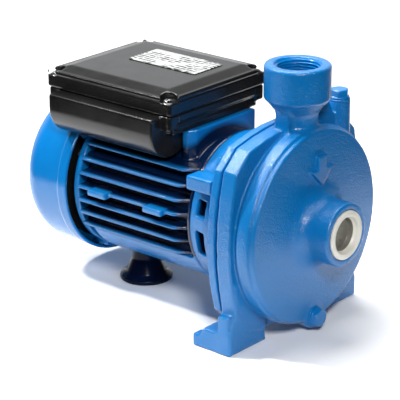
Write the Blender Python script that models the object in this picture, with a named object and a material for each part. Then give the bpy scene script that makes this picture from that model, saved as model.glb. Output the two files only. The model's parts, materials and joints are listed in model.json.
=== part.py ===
"""Close-coupled centrifugal water pump with a fan-cooled electric motor.

Sizes are in millimetres and become metres when a mesh is made. X is to the right seen from
the suction side, Y runs along the shaft from the suction face (0) to the fan, Z is up from the
floor. At the end everything is moved so that the origin is under the middle of the pump.
"""
from math import cos, pi, radians, sin, tau

import bmesh
import bpy
from mathutils import Matrix, Vector

MM = 0.001
GAP = 0.3                       # left between pieces that touch
COARSE, MEDIUM, FINE = 8, 16, 28   # facets around small, medium and large round pieces

# ---------------------------------------------------------------- driving dimensions
SHAFT_Z = 84.0                  # shaft height
AXIS = (0.0, 0.0, SHAFT_Z)      # a point on the shaft axis
TOTAL_LENGTH = 273.0            # suction face to the fan cover's rear
TOTAL_HEIGHT = 205.0            # floor to the discharge face

PORT_Y = 46.8                   # the discharge port's axis
PORT_RADIUS = 24.0
PORT_BORE_RADIUS = 15.6
SUCTION_BOSS_RADIUS = 24.0
SUCTION_BORE_RADIUS = 15.0
SUCTION_RECESS_RADIUS = 18.9
SUCTION_RECESS_DEPTH = 11.0
SUCTION_PLUG_PROUD = 1.0        # the plug's rim stands this far out of the boss
DISC_RADIUS = 73.0              # the volute's flat front

FLANGE_FRONT = 45.4
FLANGE_REAR = 64.0
CHAMBER_FRONT = 31.0
CHAMBER_RADIUS = 62.0
FOOT_INSIDE = 35.0
FOOT_OUTSIDE = 77.0
FOOT_REAR = 81.0
FOOT_HEIGHT = 16.0
FOOT_STEP = 71.5                # behind this the foot is lower, for the anchor bolt
FOOT_LOW = 9.8
ANCHOR_X = 62.5
ANCHOR_Y = 72.0                 # centre of the slot's round end; the slot is open to the rear
ANCHOR_RADIUS = 5.0
FLANGE_BOLT_OFFSET = 54.0       # bolts this far across and up from the shaft axis
PRIMING_X = 51.5
PRIMING_TOP = 165.5
DRAIN_X = 0.0
DRAIN_Z = 12.5
DRAIN_FRONT = 27.2
PLUG_WASHER = 1.2               # thickness
PLUG_HEXAGON = 13.0             # across flats
PRIMING_PLUG_TOP = 174.0
DRAIN_PLUG_FRONT = 20.6

GASKET_FRONT = FLANGE_REAR + GAP
BRACKET_FRONT = 65.6
BRACKET_FLANGE_REAR = 74.0
BRACKET_REAR = 100.2
BOLT_SEAT = 69.6                # the bolt heads sit in pockets in the bracket flange
SEAL_PLATE_RADIUS = 65.0        # the plate closes the bracket's wide mouth behind the impeller
SEAL_PLATE_REAR = BRACKET_FRONT + 2.0
SEAL_POCKET_RADIUS = 13.3
SEAL_POCKET_REAR = 70.3
BRACKET_MOUTH_RADIUS = 42.0
BELL_RADIUS = 62.0
BELL_INNER_RADIUS = 54.0

HOUSING_FRONT = BRACKET_REAR + GAP
HOUSING_REAR = 212.7
HOUSING_RADIUS = 54.0
HOUSING_BORE_RADIUS = 46.5
BELLY_RADIUS = 58.0
FIN_TIP_RADIUS = 61.0
FIN_PITCH = 10.5
FIN_THICKNESS = 3.0
FIN_STEPS = (-2.5, -1.5, -0.5, 0.5, 1.5, 2.5, 3.5)   # in pitches from the shaft's height
PAD_STARTS = (122.0, 178.0)
PAD_LENGTH = 18.0
PEDESTAL_TOP = 146.0
TIE_ROD_RADIUS = 2.0
TIE_ROD_CIRCLE = 50.3
TIE_ROD_ANGLES = (30.0, 150.0, 210.0, 330.0)

STATOR_FRONT = 120.0
STATOR_REAR = 180.0
ROTOR_RADIUS = 26.0
SHAFT_RADIUS = 7.2
CORE_SEAT_RADIUS = 8.0          # the shaft under the rotor core
BEARING_WIDTH = 11.0
BEARING_FRONTS = {"front": 98.0, "rear": 198.0}
BEARING_OUTER_RADIUS = 17.5
BEARING_INNER_RADIUS = 7.5
BALL_RADIUS = 3.0
BALL_CIRCLE = 12.5
BALL_COUNT = 8

SHIELD_FRONT = 213.0
SHIELD_REAR = 218.5
COVER_FRONT = 221.0
COVER_RADIUS = 63.3
COVER_RIM_RADIUS = 64.0
COVER_WALL = 1.8
COVER_SCREW_ANGLES = (10.0, 130.0, 250.0)
COVER_SCREW_Y = 225.0
COVER_SCREW_SEAT = 62.4         # the heads sink into the rim to this radius

BOX_FRONT = 120.0
BOX_REAR = 245.0
BOX_HALF_WIDTH = 56.5
BOX_BOTTOM = PEDESTAL_TOP + GAP
TRAY_BOTTOM = 149.5
TRAY_TOP = 161.2
LID_BOTTOM = 162.6
LID_EDGE = 175.7
LID_TOP = 178.5
LOBE_X = -43.5                  # the capacitor compartment's axis
LOBE_Z = 149.5
LOBE_RADIUS = 23.0
LOBE_FRONT = 129.5
LOBE_REAR = 234.0

LID_SCREW_INSET = 6.0           # from the lid's edges to its screws
WIRE_WAY = ((2.0, 184.0), (22.0, 200.0))   # low and high (x, y) of the way from box to stator
GLAND_AT = (0.0, 165.0, 155.2)  # a point on the gland's axis, which runs along X

MOTOR_FOOT_Y = 195.0
MOTOR_FOOT_RADIUS = 21.0

# ---------------------------------------------------------------- materials
FINISHES = {                    # colour, roughness, metallic
    "blue_paint": ((0.010, 0.130, 0.500), 0.35, 0.0),
    "black_plastic": ((0.012, 0.012, 0.013), 0.25, 0.0),
    "navy_plastic": ((0.004, 0.008, 0.030), 0.2, 0.0),
    "white_plastic": ((0.75, 0.75, 0.70), 0.45, 0.0),
    "grey_plastic": ((0.30, 0.30, 0.30), 0.5, 0.0),
    "rubber": ((0.015, 0.015, 0.015), 0.8, 0.0),
    "label": ((0.80, 0.81, 0.80), 0.4, 0.0),
    "zinc_steel": ((0.60, 0.62, 0.64), 0.35, 1.0),
    "bearing_steel": ((0.66, 0.67, 0.68), 0.15, 1.0),
    "lamination": ((0.25, 0.25, 0.27), 0.5, 0.8),
    "copper": ((0.75, 0.25, 0.10), 0.4, 1.0),
    "brass": ((0.75, 0.52, 0.22), 0.3, 1.0),
    "carbon": ((0.03, 0.03, 0.035), 0.4, 0.0),
    "ceramic": ((0.85, 0.83, 0.78), 0.3, 0.0),
}


def finish(obj, name):
    material = bpy.data.materials.get(name)
    if material is None:
        colour, roughness, metallic = FINISHES[name]
        material = bpy.data.materials.new(name)
        material.use_nodes = True
        shader = material.node_tree.nodes["Principled BSDF"]
        shader.inputs["Base Color"].default_value = (*colour, 1.0)
        shader.inputs["Roughness"].default_value = roughness
        shader.inputs["Metallic"].default_value = metallic
        material.diffuse_color = (*colour, 1.0)
    obj.data.materials.clear()
    obj.data.materials.append(material)


# ---------------------------------------------------------------- shape tools
DIRECTIONS = {                  # two directions across, then the one along
    "X": (Vector((0, 1, 0)), Vector((0, 0, 1)), Vector((1, 0, 0))),
    "Y": (Vector((1, 0, 0)), Vector((0, 0, 1)), Vector((0, 1, 0))),
    "Z": (Vector((1, 0, 0)), Vector((0, 1, 0)), Vector((0, 0, 1))),
}


def solid(name, bm, at, finish_name=None):
    """Turn a bmesh in millimetres into an object whose origin is at the given point."""
    bmesh.ops.recalc_face_normals(bm, faces=bm.faces)
    bmesh.ops.scale(bm, vec=(MM, MM, MM), verts=bm.verts)
    mesh = bpy.data.meshes.new(name)
    bm.to_mesh(mesh)
    bm.free()
    obj = bpy.data.objects.new(name, mesh)
    obj.location = Vector(at) * MM
    bpy.context.scene.collection.objects.link(obj)
    if finish_name:
        finish(obj, finish_name)
    return obj


def loops(bm, rings, closed_ends):
    """Join rings of vertices one after the other; a ring of one vertex is a pole."""
    count = max(len(ring) for ring in rings)
    following = rings[1:] if closed_ends else rings[1:] + rings[:1]
    for ring, after in zip(rings, following):
        for i in range(count):
            j = (i + 1) % count
            corners = [ring[i % len(ring)], ring[j % len(ring)], after[j % len(after)], after[i % len(after)]]
            corners = list(dict.fromkeys(corners))      # a pole counts once
            if len(corners) > 2:
                bm.faces.new(corners)
    if closed_ends:
        bm.faces.new(rings[0])
        bm.faces.new(rings[-1])


def turned(name, at, profile, finish_name=None, axis="Y", segments=FINE):
    """Turn a closed outline of (radius, distance along) about an axis."""
    across, up, along = DIRECTIONS[axis]
    bm = bmesh.new()
    rings = []
    for radius, distance in profile:
        count = segments if radius > 0 else 1
        spokes = [across * cos(tau * i / count) + up * sin(tau * i / count) for i in range(count)]
        rings.append([bm.verts.new(along * distance + spoke * radius) for spoke in spokes])
    loops(bm, rings, closed_ends=False)
    return solid(name, bm, at, finish_name)


def stacked(name, at, layers, finish_name=None, axis="Y"):
    """Join outlines that have the same number of points, each at its own distance along."""
    across, up, along = DIRECTIONS[axis]
    bm = bmesh.new()
    rings = [[bm.verts.new(across * a + up * b + along * distance) for a, b in outline]
             for outline, distance in layers]
    loops(bm, rings, closed_ends=True)
    return solid(name, bm, at, finish_name)


def prism(name, at, outline, low, high, finish_name=None, axis="Y"):
    return stacked(name, at, [(outline, low), (outline, high)], finish_name, axis)


def block(name, low, high, finish_name=None):
    outline = [(low[0], low[1]), (high[0], low[1]), (high[0], high[1]), (low[0], high[1])]
    return prism(name, (0, 0, 0), outline, low[2], high[2], finish_name, axis="Z")


def bake(obj):
    bpy.context.view_layer.update()
    evaluated = obj.evaluated_get(bpy.context.evaluated_depsgraph_get())
    mesh = bpy.data.meshes.new_from_object(evaluated)
    obj.modifiers.clear()
    obj.data = mesh


def combine(base, tools, operation):
    """Apply one exact Boolean with all the tools at once, and remove them."""
    group = bpy.data.collections.new("tools")
    for tool in tools:
        group.objects.link(tool)
    modifier = base.modifiers.new(operation, "BOOLEAN")
    modifier.operation = operation
    modifier.operand_type = "COLLECTION"
    modifier.collection = group
    bake(base)
    for tool in tools:
        bpy.data.objects.remove(tool)
    bpy.data.collections.remove(group)
    return base


def joined(base, *tools):
    return combine(base, tools, "UNION")


def cut(base, *tools):
    return combine(base, tools, "DIFFERENCE")


def arc(centre, radius, start, end, steps):
    """Points on an arc between two angles in degrees."""
    angles = [radians(start + (end - start) * i / steps) for i in range(steps + 1)]
    return [(centre[0] + radius * cos(a), centre[1] + radius * sin(a)) for a in angles]


def rounded_rectangle(low, high, radius, steps=2):
    x0, y0, x1, y1 = low[0] + radius, low[1] + radius, high[0] - radius, high[1] - radius
    return (arc((x0, y0), radius, 180, 270, steps) + arc((x1, y0), radius, 270, 360, steps)
            + arc((x1, y1), radius, 0, 90, steps) + arc((x0, y1), radius, 90, 180, steps))


def hexagon(across_flats, turn=0.0):
    return arc((0, 0), across_flats / 2 / cos(pi / 6), turn, turn + 300, 5)


def mirrored(pairs):
    return [(-x, z) for x, z in reversed(pairs)]


def bulged_octagon(half_width, half_height, side, top, steps=5):
    """A flange with slightly arched sides and four cut corners, about the shaft axis."""
    spread = [2 * i / steps - 1 for i in range(steps + 1)]
    right = [(side[0] + (half_width - side[0]) * (1 - t * t), side[1] * t) for t in spread]
    upper = [(-top[0] * t, top[1] + (half_height - top[1]) * (1 - t * t)) for t in spread]
    return right + upper + [(-x, -z) for x, z in right] + [(-x, -z) for x, z in upper]


def rod(name, at, radius, low, high, axis="Y", finish_name=None, segments=COARSE):
    outline = [(0, low), (radius, low), (radius, high), (0, high)]
    return turned(name, at, outline, finish_name, axis, segments)


def tube_profile(inner, outer, low, high):
    return [(outer, low), (outer, high), (inner, high), (inner, low)]


def corners_of(offset):
    """The four points at this distance across and up from the shaft axis."""
    signs = ((-1, 1), (1, 1), (1, -1), (-1, -1))
    return [(sx * offset, 0, SHAFT_Z + sz * offset) for sx, sz in signs]


def turn_outline(outline, degrees):
    c, s = cos(radians(degrees)), sin(radians(degrees))
    return [(x * c - z * s, x * s + z * c) for x, z in outline]


def radial_rod(name, degrees, radius, low, high, finish_name=None):
    """A short cylinder that points straight out from the shaft axis, for the fan cover's screws."""
    obj = rod(name, AXIS, radius, low, high, "X", finish_name)
    along = Matrix.Translation((0, COVER_SCREW_Y * MM, 0))
    obj.data.transform(along @ Matrix.Rotation(-radians(degrees), 4, "Y"))
    return obj


def coil(name, at, radius, wire, low, high, turns, finish_name):
    """A round wire wound about the shaft axis."""
    steps, sides = int(turns * 12), 4
    pitch = (high - low - 2 * wire) / turns
    section = [tau * j / sides for j in range(sides)]
    bm = bmesh.new()
    rings = []
    for i in range(steps + 1):
        angle = tau * turns * i / steps
        outward = Vector((cos(angle), 0, sin(angle)))
        centre = outward * radius + Vector((0, low + wire + pitch * turns * i / steps, 0))
        offsets = [outward * wire * cos(t) + Vector((0, wire * sin(t), 0)) for t in section]
        rings.append([bm.verts.new(centre + offset) for offset in offsets])
    loops(bm, rings, closed_ends=True)
    return solid(name, bm, at, finish_name)


# ---------------------------------------------------------------- wet end
BODY_FLANGE = bulged_octagon(78.5, 76.0, (70.6, 54.8), (56.0, 68.4))
BRACKET_FLANGE = bulged_octagon(74.5, 76.0, (64.6, 52.0), (50.4, 66.4))


def body_shell():
    """Suction boss flaring into the flat front disc, then the rounded volute wall."""
    boss = [(0, 0), (SUCTION_BOSS_RADIUS - 1, 0), (SUCTION_BOSS_RADIUS, 1)]
    flare = [(24.2, 9), (25.2, 13), (27.8, 17.6), (31.6, 21.4), (37, 24.4), (44, 26)]
    disc = [(DISC_RADIUS - 1.6, 27.8), (DISC_RADIUS, 29.4), (DISC_RADIUS + 0.4, 32)]
    shoulder = [(75.4, 35), (76.2, 40), (76, 50), (0, 50)]
    return turned("pump_body", AXIS, boss + flare + disc + shoulder, "blue_paint")


def discharge_neck():
    port = turned("port", (0, PORT_Y, 0),
                  [(0, 138), (16.9, 138), (16.9, 164), (18.5, 173), (23.2, 179.4), (PORT_RADIUS, 181),
                   (PORT_RADIUS, TOTAL_HEIGHT - 1.4), (PORT_RADIUS - 1.4, TOTAL_HEIGHT), (0, TOTAL_HEIGHT)],
                  axis="Z", segments=24)
    rib = block("rib", (-19.6, 42.0, 140), (-8, 51.6, 182))
    web_outline = [(0, 140), (46, 130), (46, 163.5), (24, 182), (0, 182)]
    web = prism("web", (0, 0, 0), web_outline, 42.4, 51.2)
    return port, rib, web


def body_foot(side):
    web = [(FOOT_INSIDE, 0), (FOOT_OUTSIDE, 0), (FOOT_OUTSIDE, FOOT_HEIGHT), (70, 31), (72, 48), (40, 48)]
    if side < 0:
        web = mirrored(web)
    plate = [(FLANGE_FRONT + 1, 0), (FOOT_REAR, 0), (FOOT_REAR, FOOT_LOW), (FOOT_STEP + 1.5, FOOT_LOW),
             (FOOT_STEP, FOOT_HEIGHT), (FLANGE_FRONT + 1, FOOT_HEIGHT)]
    plate_ends = sorted((side * 48.0, side * FOOT_OUTSIDE))     # clear of the bracket flange behind
    return (prism("foot_web", (0, 0, 0), web, FLANGE_FRONT, FLANGE_REAR),
            prism("foot_plate", (0, 0, 0), plate, *plate_ends, axis="X"))


def anchor_slot(side):
    x = side * ANCHOR_X
    past = FOOT_REAR + 9
    outline = arc((x, ANCHOR_Y), ANCHOR_RADIUS, 180, 360, 8)
    outline += [(x + ANCHOR_RADIUS, past), (x - ANCHOR_RADIUS, past)]
    return prism("anchor_slot", (0, 0, 0), outline, -5, 30, axis="Z")


def water_ways():
    """The impeller chamber and the bores that lead into it, as cutters."""
    chamber = turned("chamber", AXIS,
                     [(0, CHAMBER_FRONT), (CHAMBER_RADIUS - 2, CHAMBER_FRONT),
                      (CHAMBER_RADIUS, CHAMBER_FRONT + 2), (CHAMBER_RADIUS, 70), (0, 70)])
    suction = turned("suction", AXIS,
                     [(0, -2), (SUCTION_RECESS_RADIUS, -2), (SUCTION_RECESS_RADIUS, SUCTION_RECESS_DEPTH),
                      (SUCTION_BORE_RADIUS, SUCTION_RECESS_DEPTH), (SUCTION_BORE_RADIUS, 40), (0, 40)])
    mouth = PORT_BORE_RADIUS
    discharge = turned("discharge", (0, PORT_Y, 0),
                       [(0, 135), (13, 135), (13, 181), (mouth, 184), (mouth, TOTAL_HEIGHT - 1.6),
                        (mouth + 2.2, TOTAL_HEIGHT + 1), (0, TOTAL_HEIGHT + 1)], axis="Z", segments=MEDIUM)
    priming = rod("priming", (PRIMING_X, PORT_Y, 0), 5.2, 104, 170, "Z")
    drain = rod("drain", (DRAIN_X, 0, DRAIN_Z), 4.2, 10, 38)
    riser = rod("riser", (DRAIN_X, 36, 0), 3.6, DRAIN_Z, 30, "Z")
    return chamber, suction, discharge, priming, drain, riser


def pump_body():
    body = body_shell()
    flange = prism("flange", AXIS, BODY_FLANGE, FLANGE_FRONT, FLANGE_REAR)
    priming_boss = rod("priming_boss", (PRIMING_X, PORT_Y, 0), 8.5, 122, PRIMING_TOP, "Z", segments=MEDIUM)
    drain_boss = rod("drain_boss", (DRAIN_X, 0, DRAIN_Z), 9.8, DRAIN_FRONT, 52, segments=MEDIUM)
    arrow_outline = [(-2, 56), (-2, 45), (-8, 45), (1.75, 33), (11.5, 45), (5.5, 45), (5.5, 56)]
    arrow = prism("arrow", AXIS, arrow_outline, 23.6, 29)
    joined(body, flange, *discharge_neck(), priming_boss, drain_boss, arrow, *body_foot(-1), *body_foot(1))
    bolt_holes = [rod("bolt_hole", at, 3.3, 51, 70) for at in corners_of(FLANGE_BOLT_OFFSET)]
    return cut(body, *water_ways(), *bolt_holes, anchor_slot(-1), anchor_slot(1))


def suction_plug():
    """A push-in cup: a rim that shows as a ring, an inner step and a closed floor."""
    radius, front, rear = SUCTION_RECESS_RADIUS - GAP, -SUCTION_PLUG_PROUD, SUCTION_RECESS_DEPTH - GAP
    inside = [(0, 7), (12.2, 7), (12.8, 3), (13.6, 1.2), (14.0, front + 0.4), (14.6, front)]
    outside = [(radius - 0.6, front), (radius, front + 0.6), (radius, rear), (0, rear)]
    return turned("suction_plug", AXIS, inside + outside, "white_plastic")


def plug(name, at, axis, sign, stem, seat, head_end):
    """A hexagon plug: a stem in the hole, then a washer face and the hexagon outside it.

    stem is its (radius, inner end); distances run along the axis, and sign is the way out.
    """
    stem_radius, stem_end = stem
    face_end = seat + sign * 1.4
    stem_outline = [(0, stem_end), (stem_radius - 0.6, stem_end), (stem_radius, stem_end + sign)]
    face_outline = [(stem_radius, seat), (7.6, seat), (7.6, face_end), (0, face_end)]
    body = turned(name, at, stem_outline + face_outline, "blue_paint", axis, MEDIUM)
    ends = sorted((face_end - sign * 0.5, head_end))
    return joined(body, prism("hexagon", at, hexagon(PLUG_HEXAGON, 30), *ends, axis=axis))


def plug_washer(name, at, axis, bore, low):
    turned(name, at, tube_profile(bore, 7.8, low, low + PLUG_WASHER), "blue_paint", axis, MEDIUM)


def plugs():
    priming_at = (PRIMING_X, PORT_Y, 0)
    washer = PRIMING_TOP + GAP
    plug_washer("priming_plug_washer", priming_at, "Z", 5.2, washer)
    plug("priming_plug", priming_at, "Z", 1, (4.4, 152.0), washer + PLUG_WASHER + GAP, PRIMING_PLUG_TOP)
    drain_at = (DRAIN_X, 0, DRAIN_Z)
    washer = DRAIN_FRONT - GAP - PLUG_WASHER
    plug_washer("drain_plug_washer", drain_at, "Y", 4.4, washer)
    plug("drain_plug", drain_at, "Y", -1, (3.5, 33.0), washer - GAP, DRAIN_PLUG_FRONT)


def body_gasket():
    gasket = prism("body_gasket", AXIS, [(x * 0.965, z * 0.985) for x, z in BRACKET_FLANGE],
                   GASKET_FRONT, GASKET_FRONT + 0.9, "rubber")
    holes = [rod("hole", at, 3.4, 60, 70) for at in corners_of(FLANGE_BOLT_OFFSET)]
    return cut(gasket, rod("inside", AXIS, CHAMBER_RADIUS + 1, 60, 70, segments=FINE), *holes)


def vane(start):
    """One backward-swept vane, thinner towards its tip."""
    outer, inner = [], []
    root, tip, steps = 17.0, 56.4, 3
    for i in range(steps + 1):
        radius = root + (tip - root) * i / steps
        angle = start - 0.95 * (i / steps) ** 0.8
        half = 1.1 / radius
        outer.append((radius * cos(angle + half), radius * sin(angle + half)))
        inner.append((radius * cos(angle - half), radius * sin(angle - half)))
    return prism("vane", AXIS, outer + inner[::-1], 38, 51)


def impeller():
    """Closed impeller: hub and rear shroud, backward vanes, front shroud with its eye."""
    bore = 6.3
    hub_and_shroud = [(bore, 45.8), (11, 45.8), (12, 49.4), (57, 50.4), (57, 53), (14, 54), (12, 55.4),
                      (bore, 55.4)]
    wheel = turned("impeller", AXIS, hub_and_shroud, "brass")
    for number in range(6):
        joined(wheel, vane(tau * number / 6))
    clearance = [(15, 30), (70, 30), (70, 44.4), (57.5, 44.4), (18, 39), (15, 39)]
    cut(wheel, turned("front_clearance", AXIS, clearance))
    shroud = turned("front_shroud", AXIS,
                    [(14, 34), (17, 34), (17.6, 38), (57, 43.5), (57, 45.8), (18, 40.6), (14, 38)])
    joined(wheel, shroud)
    return cut(wheel, block("keyway", (-1.7, 44, SHAFT_Z + 4), (1.7, 58, SHAFT_Z + 8.3)))


def impeller_fixings():
    nut = prism("impeller_nut", AXIS, hexagon(13.0), 41.0, 45.4, "zinc_steel")
    cut(nut, rod("thread", AXIS, 4.9, 38, 48, segments=MEDIUM))
    key_section = [(-1.4, 4.4), (1.4, 4.4), (1.4, 8.0), (-1.4, 8.0)]
    prism("impeller_key", AXIS, key_section, 46.6, 54.8, "zinc_steel")


def mechanical_seal():
    cup = [(6.3, 55.8), (11.5, 55.8), (11.5, 58.6), (10.6, 58.6), (10.6, 57.0), (6.3, 57.0)]
    turned("seal_cup", AXIS, cup, "zinc_steel", segments=MEDIUM)
    coil("seal_spring", AXIS, 8.8, 0.55, 57.9, 61.1, 3.5, "zinc_steel")
    turned("seal_ring", AXIS, tube_profile(6.3, 11.0, 61.9, 65.7), "carbon", segments=MEDIUM)
    turned("seal_seat", AXIS, tube_profile(8.3, 13.0, 66.0, 70.0), "ceramic", segments=MEDIUM)


def seal_plate():
    """A plate clamped between the pump body and the bracket, with a pocket for the seal's seat."""
    shaft_way, boss = 8.3, 16.5
    rear = [(SEAL_PLATE_RADIUS, SEAL_PLATE_REAR), (boss, SEAL_PLATE_REAR), (boss, 73.4), (shaft_way, 73.4)]
    pocket = [(shaft_way, SEAL_POCKET_REAR), (SEAL_POCKET_RADIUS, SEAL_POCKET_REAR),
              (SEAL_POCKET_RADIUS, BRACKET_FRONT)]
    turned("seal_plate", AXIS, [(SEAL_PLATE_RADIUS, BRACKET_FRONT), *rear, *pocket], "zinc_steel")


# ---------------------------------------------------------------- bracket
def bracket_cutters():
    """The seal plate's recess, the lantern cavity and its windows, the bearing bore and bolt pockets."""
    recess, shoulder, mouth = SEAL_PLATE_RADIUS + GAP, SEAL_PLATE_REAR + GAP, BRACKET_MOUTH_RADIUS
    cavity = turned("cavity", AXIS,
                    [(0, 60), (recess, 60), (recess, shoulder), (mouth, shoulder), (mouth, 72),
                     (BELL_INNER_RADIUS - 1, 72), (BELL_INNER_RADIUS, 73), (BELL_INNER_RADIUS, 90),
                     (51, 94), (0, 94)])
    bearing_seat, bearing_front = BEARING_OUTER_RADIUS + GAP, BEARING_FRONTS["front"] - GAP
    bore = turned("bore", AXIS,
                  [(0, 92), (12, 92), (12, bearing_front), (bearing_seat, bearing_front),
                   (bearing_seat, 115), (0, 115)], segments=MEDIUM)
    windows = [block("window", (x - 15, 84, low), (x + 15, 93.5, high))
               for x in (-60, 60) for low, high in ((93, 105.5), (63, 82))]
    drip = block("drip_window", (-13, 80, 15), (13, 92, 40))
    pocket = [(0, 60), (3.4, 60), (3.4, BOLT_SEAT), (6.6, BOLT_SEAT), (6.6, 80), (0, 80)]
    bolts = [turned("bolt_hole", at, pocket, segments=MEDIUM) for at in corners_of(FLANGE_BOLT_OFFSET)]
    rods = [rod("rod_hole", at, TIE_ROD_RADIUS + GAP, 92, 104) for at in tie_rod_places()]
    return cavity, bore, drip, *windows, *bolts, *rods


def bracket():
    flange_band = [(0, BRACKET_FRONT), (66, BRACKET_FRONT), (66, 70)]
    bell = [(BELL_RADIUS, 73.5), (BELL_RADIUS - 0.4, 84), (60.6, 92), (58.8, 98), (57.6, BRACKET_REAR)]
    bearing_housing = [(22, BRACKET_REAR), (22, 109.5), (0, 109.5)]
    shell = turned("bracket", AXIS, flange_band + bell + bearing_housing, "blue_paint")
    flange = prism("flange", AXIS, BRACKET_FLANGE, BRACKET_FRONT, BRACKET_FLANGE_REAR)
    lugs = [block("lug", (x, 75, 115), (x + 14, 97, 126)) for x in (-66, 52)]
    joined(shell, flange, *lugs)
    return cut(shell, *bracket_cutters())


def bracket_bolts():
    for number, at in enumerate(corners_of(FLANGE_BOLT_OFFSET), 1):
        head_front = BOLT_SEAT + GAP
        bolt = prism(f"bracket_bolt_{number}", at, hexagon(10.0), head_front, head_front + 4.4, "zinc_steel")
        joined(bolt, rod("shank", at, 3.0, 52, head_front + 1))


def slinger():
    profile = [(7.5, 80), (9.5, 80), (10, 82.5), (16, 83), (16, 84.6), (10, 85), (7.5, 85)]
    turned("slinger", AXIS, profile, "rubber", segments=MEDIUM)


# ---------------------------------------------------------------- motor
def tie_rod_places():
    turns = [radians(angle) for angle in TIE_ROD_ANGLES]
    return [(TIE_ROD_CIRCLE * cos(a), 0, SHAFT_Z + TIE_ROD_CIRCLE * sin(a)) for a in turns]


def fin(side, step):
    """A flat fin whose front corner slants back, widest at its outer edge."""
    height = step * FIN_PITCH
    reach = (FIN_TIP_RADIUS ** 2 - height ** 2) ** 0.5
    root = (50.0 ** 2 - height ** 2) ** 0.5
    rear = HOUSING_REAR - 0.7
    outline = [(root, 104.4), (reach - 7, 105), (reach - 2, 110), (reach, 115), (reach, rear), (root, rear)]
    if side < 0:
        outline = mirrored(outline)
    z = SHAFT_Z + height
    return prism("fin", (0, 0, 0), outline, z - FIN_THICKNESS / 2, z + FIN_THICKNESS / 2, axis="Z")


def fin_pads(side):
    z = SHAFT_Z + 0.5 * FIN_PITCH
    inner, outer = sorted((side * 52, side * 66))
    low, high = z - 2.6, z + 2.6
    return [block("pad", (inner, start, low), (outer, start + PAD_LENGTH, high)) for start in PAD_STARTS]


def motor_housing():
    housing = turned("motor_housing", AXIS,
                     [(0, HOUSING_FRONT), (57.0, HOUSING_FRONT), (57.0, 103), (HOUSING_RADIUS, 106),
                      (HOUSING_RADIUS, HOUSING_REAR), (0, HOUSING_REAR)], "blue_paint")
    belly = prism("belly", AXIS, arc((0, 0), BELLY_RADIUS, -148, -32, 12), 101.5, 206)
    pedestal_outline = [(-33, 123), (-28, 118), (42, 118), (42, 205), (-19, 205), (-19, 128.5), (-33, 128.5)]
    pedestal = prism("pedestal", (0, 0, 0), pedestal_outline, 100, PEDESTAL_TOP, axis="Z")
    fins = [fin(side, step) for side in (-1, 1) for step in FIN_STEPS]
    joined(housing, belly, pedestal, *fins, *fin_pads(-1), *fin_pads(1))
    bore = rod("bore", AXIS, HOUSING_BORE_RADIUS, 90, 230, segments=FINE)
    wire_way = block("wire_way", (*WIRE_WAY[0], 120), (*WIRE_WAY[1], 150))
    foot_hole = rod("foot_hole", (0, MOTOR_FOOT_Y, 0), 2.3, 20, 34, "Z")
    rods = [rod("rod_hole", at, TIE_ROD_RADIUS + GAP, 90, 230) for at in tie_rod_places()]
    return cut(housing, bore, wire_way, foot_hole, *rods)


def stator():
    core = turned("stator_core", AXIS,
                  tube_profile(26.6, HOUSING_BORE_RADIUS - GAP, STATOR_FRONT, STATOR_REAR), "lamination")
    slot_outline = [(25, -1.2), (29, -1.2), (38, -3), (38, 3), (29, 1.2), (25, 1.2)]
    low, high = STATOR_FRONT - 1, STATOR_REAR + 1
    turns = [20 * number + 10 for number in range(18)]
    cut(core, *[prism("slot", AXIS, turn_outline(slot_outline, turn), low, high) for turn in turns])
    winding("winding_front", 110.6, STATOR_FRONT - GAP)
    winding("winding_rear", STATOR_REAR + GAP, 191)


def winding(name, low, high):
    profile = [(30, low + 2), (32, low), (41, low), (43.5, low + 3), (43.5, high - 2), (41, high), (31, high),
               (29.5, high - 2)]
    turned(name, AXIS, profile, "copper", segments=MEDIUM)


def bearing(place):
    """Outer ring, inner ring, and the cage with its balls, all about the shaft axis."""
    low = BEARING_FRONTS[place]
    high, middle = low + BEARING_WIDTH, low + BEARING_WIDTH / 2
    reach, steps = 50, 3
    # the flats between the races' points, along and around, stay clear of the balls
    flat_along, flat_around = cos(radians(reach / steps)), cos(pi / MEDIUM)
    race = (BALL_RADIUS + GAP) / flat_along
    wide_race = ((BALL_CIRCLE + BALL_RADIUS + GAP / 2) / flat_around - BALL_CIRCLE) / flat_along
    outer_race = arc((BALL_CIRCLE, middle), wide_race, reach, -reach, steps)
    inner_race = arc((BALL_CIRCLE, middle), race, 180 + reach, 180 - reach, steps)
    outside, inside = BEARING_OUTER_RADIUS, BEARING_INNER_RADIUS
    outer_ring = [(outside, low), (outside, high), (14.6, high), *outer_race, (14.6, low)]
    inner_ring = [(inside, high), (inside, low), (10.4, low), *inner_race, (10.4, high)]
    turned(f"{place}_bearing_outer_ring", AXIS, outer_ring, "bearing_steel", segments=MEDIUM)
    turned(f"{place}_bearing_inner_ring", AXIS, inner_ring, "bearing_steel", segments=MEDIUM)
    cage = turned(f"{place}_bearing_balls", AXIS, tube_profile(11.9, 13.1, middle - 3.6, middle + 3.6),
                  "bearing_steel", segments=MEDIUM)
    for number in range(BALL_COUNT):
        a = tau * number / BALL_COUNT
        centre = Matrix.Translation((BALL_CIRCLE * cos(a), middle, BALL_CIRCLE * sin(a)))
        bm = bmesh.new()
        bmesh.ops.create_icosphere(bm, subdivisions=1, radius=BALL_RADIUS, matrix=centre)
        joined(cage, solid("ball", bm, AXIS))


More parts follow.
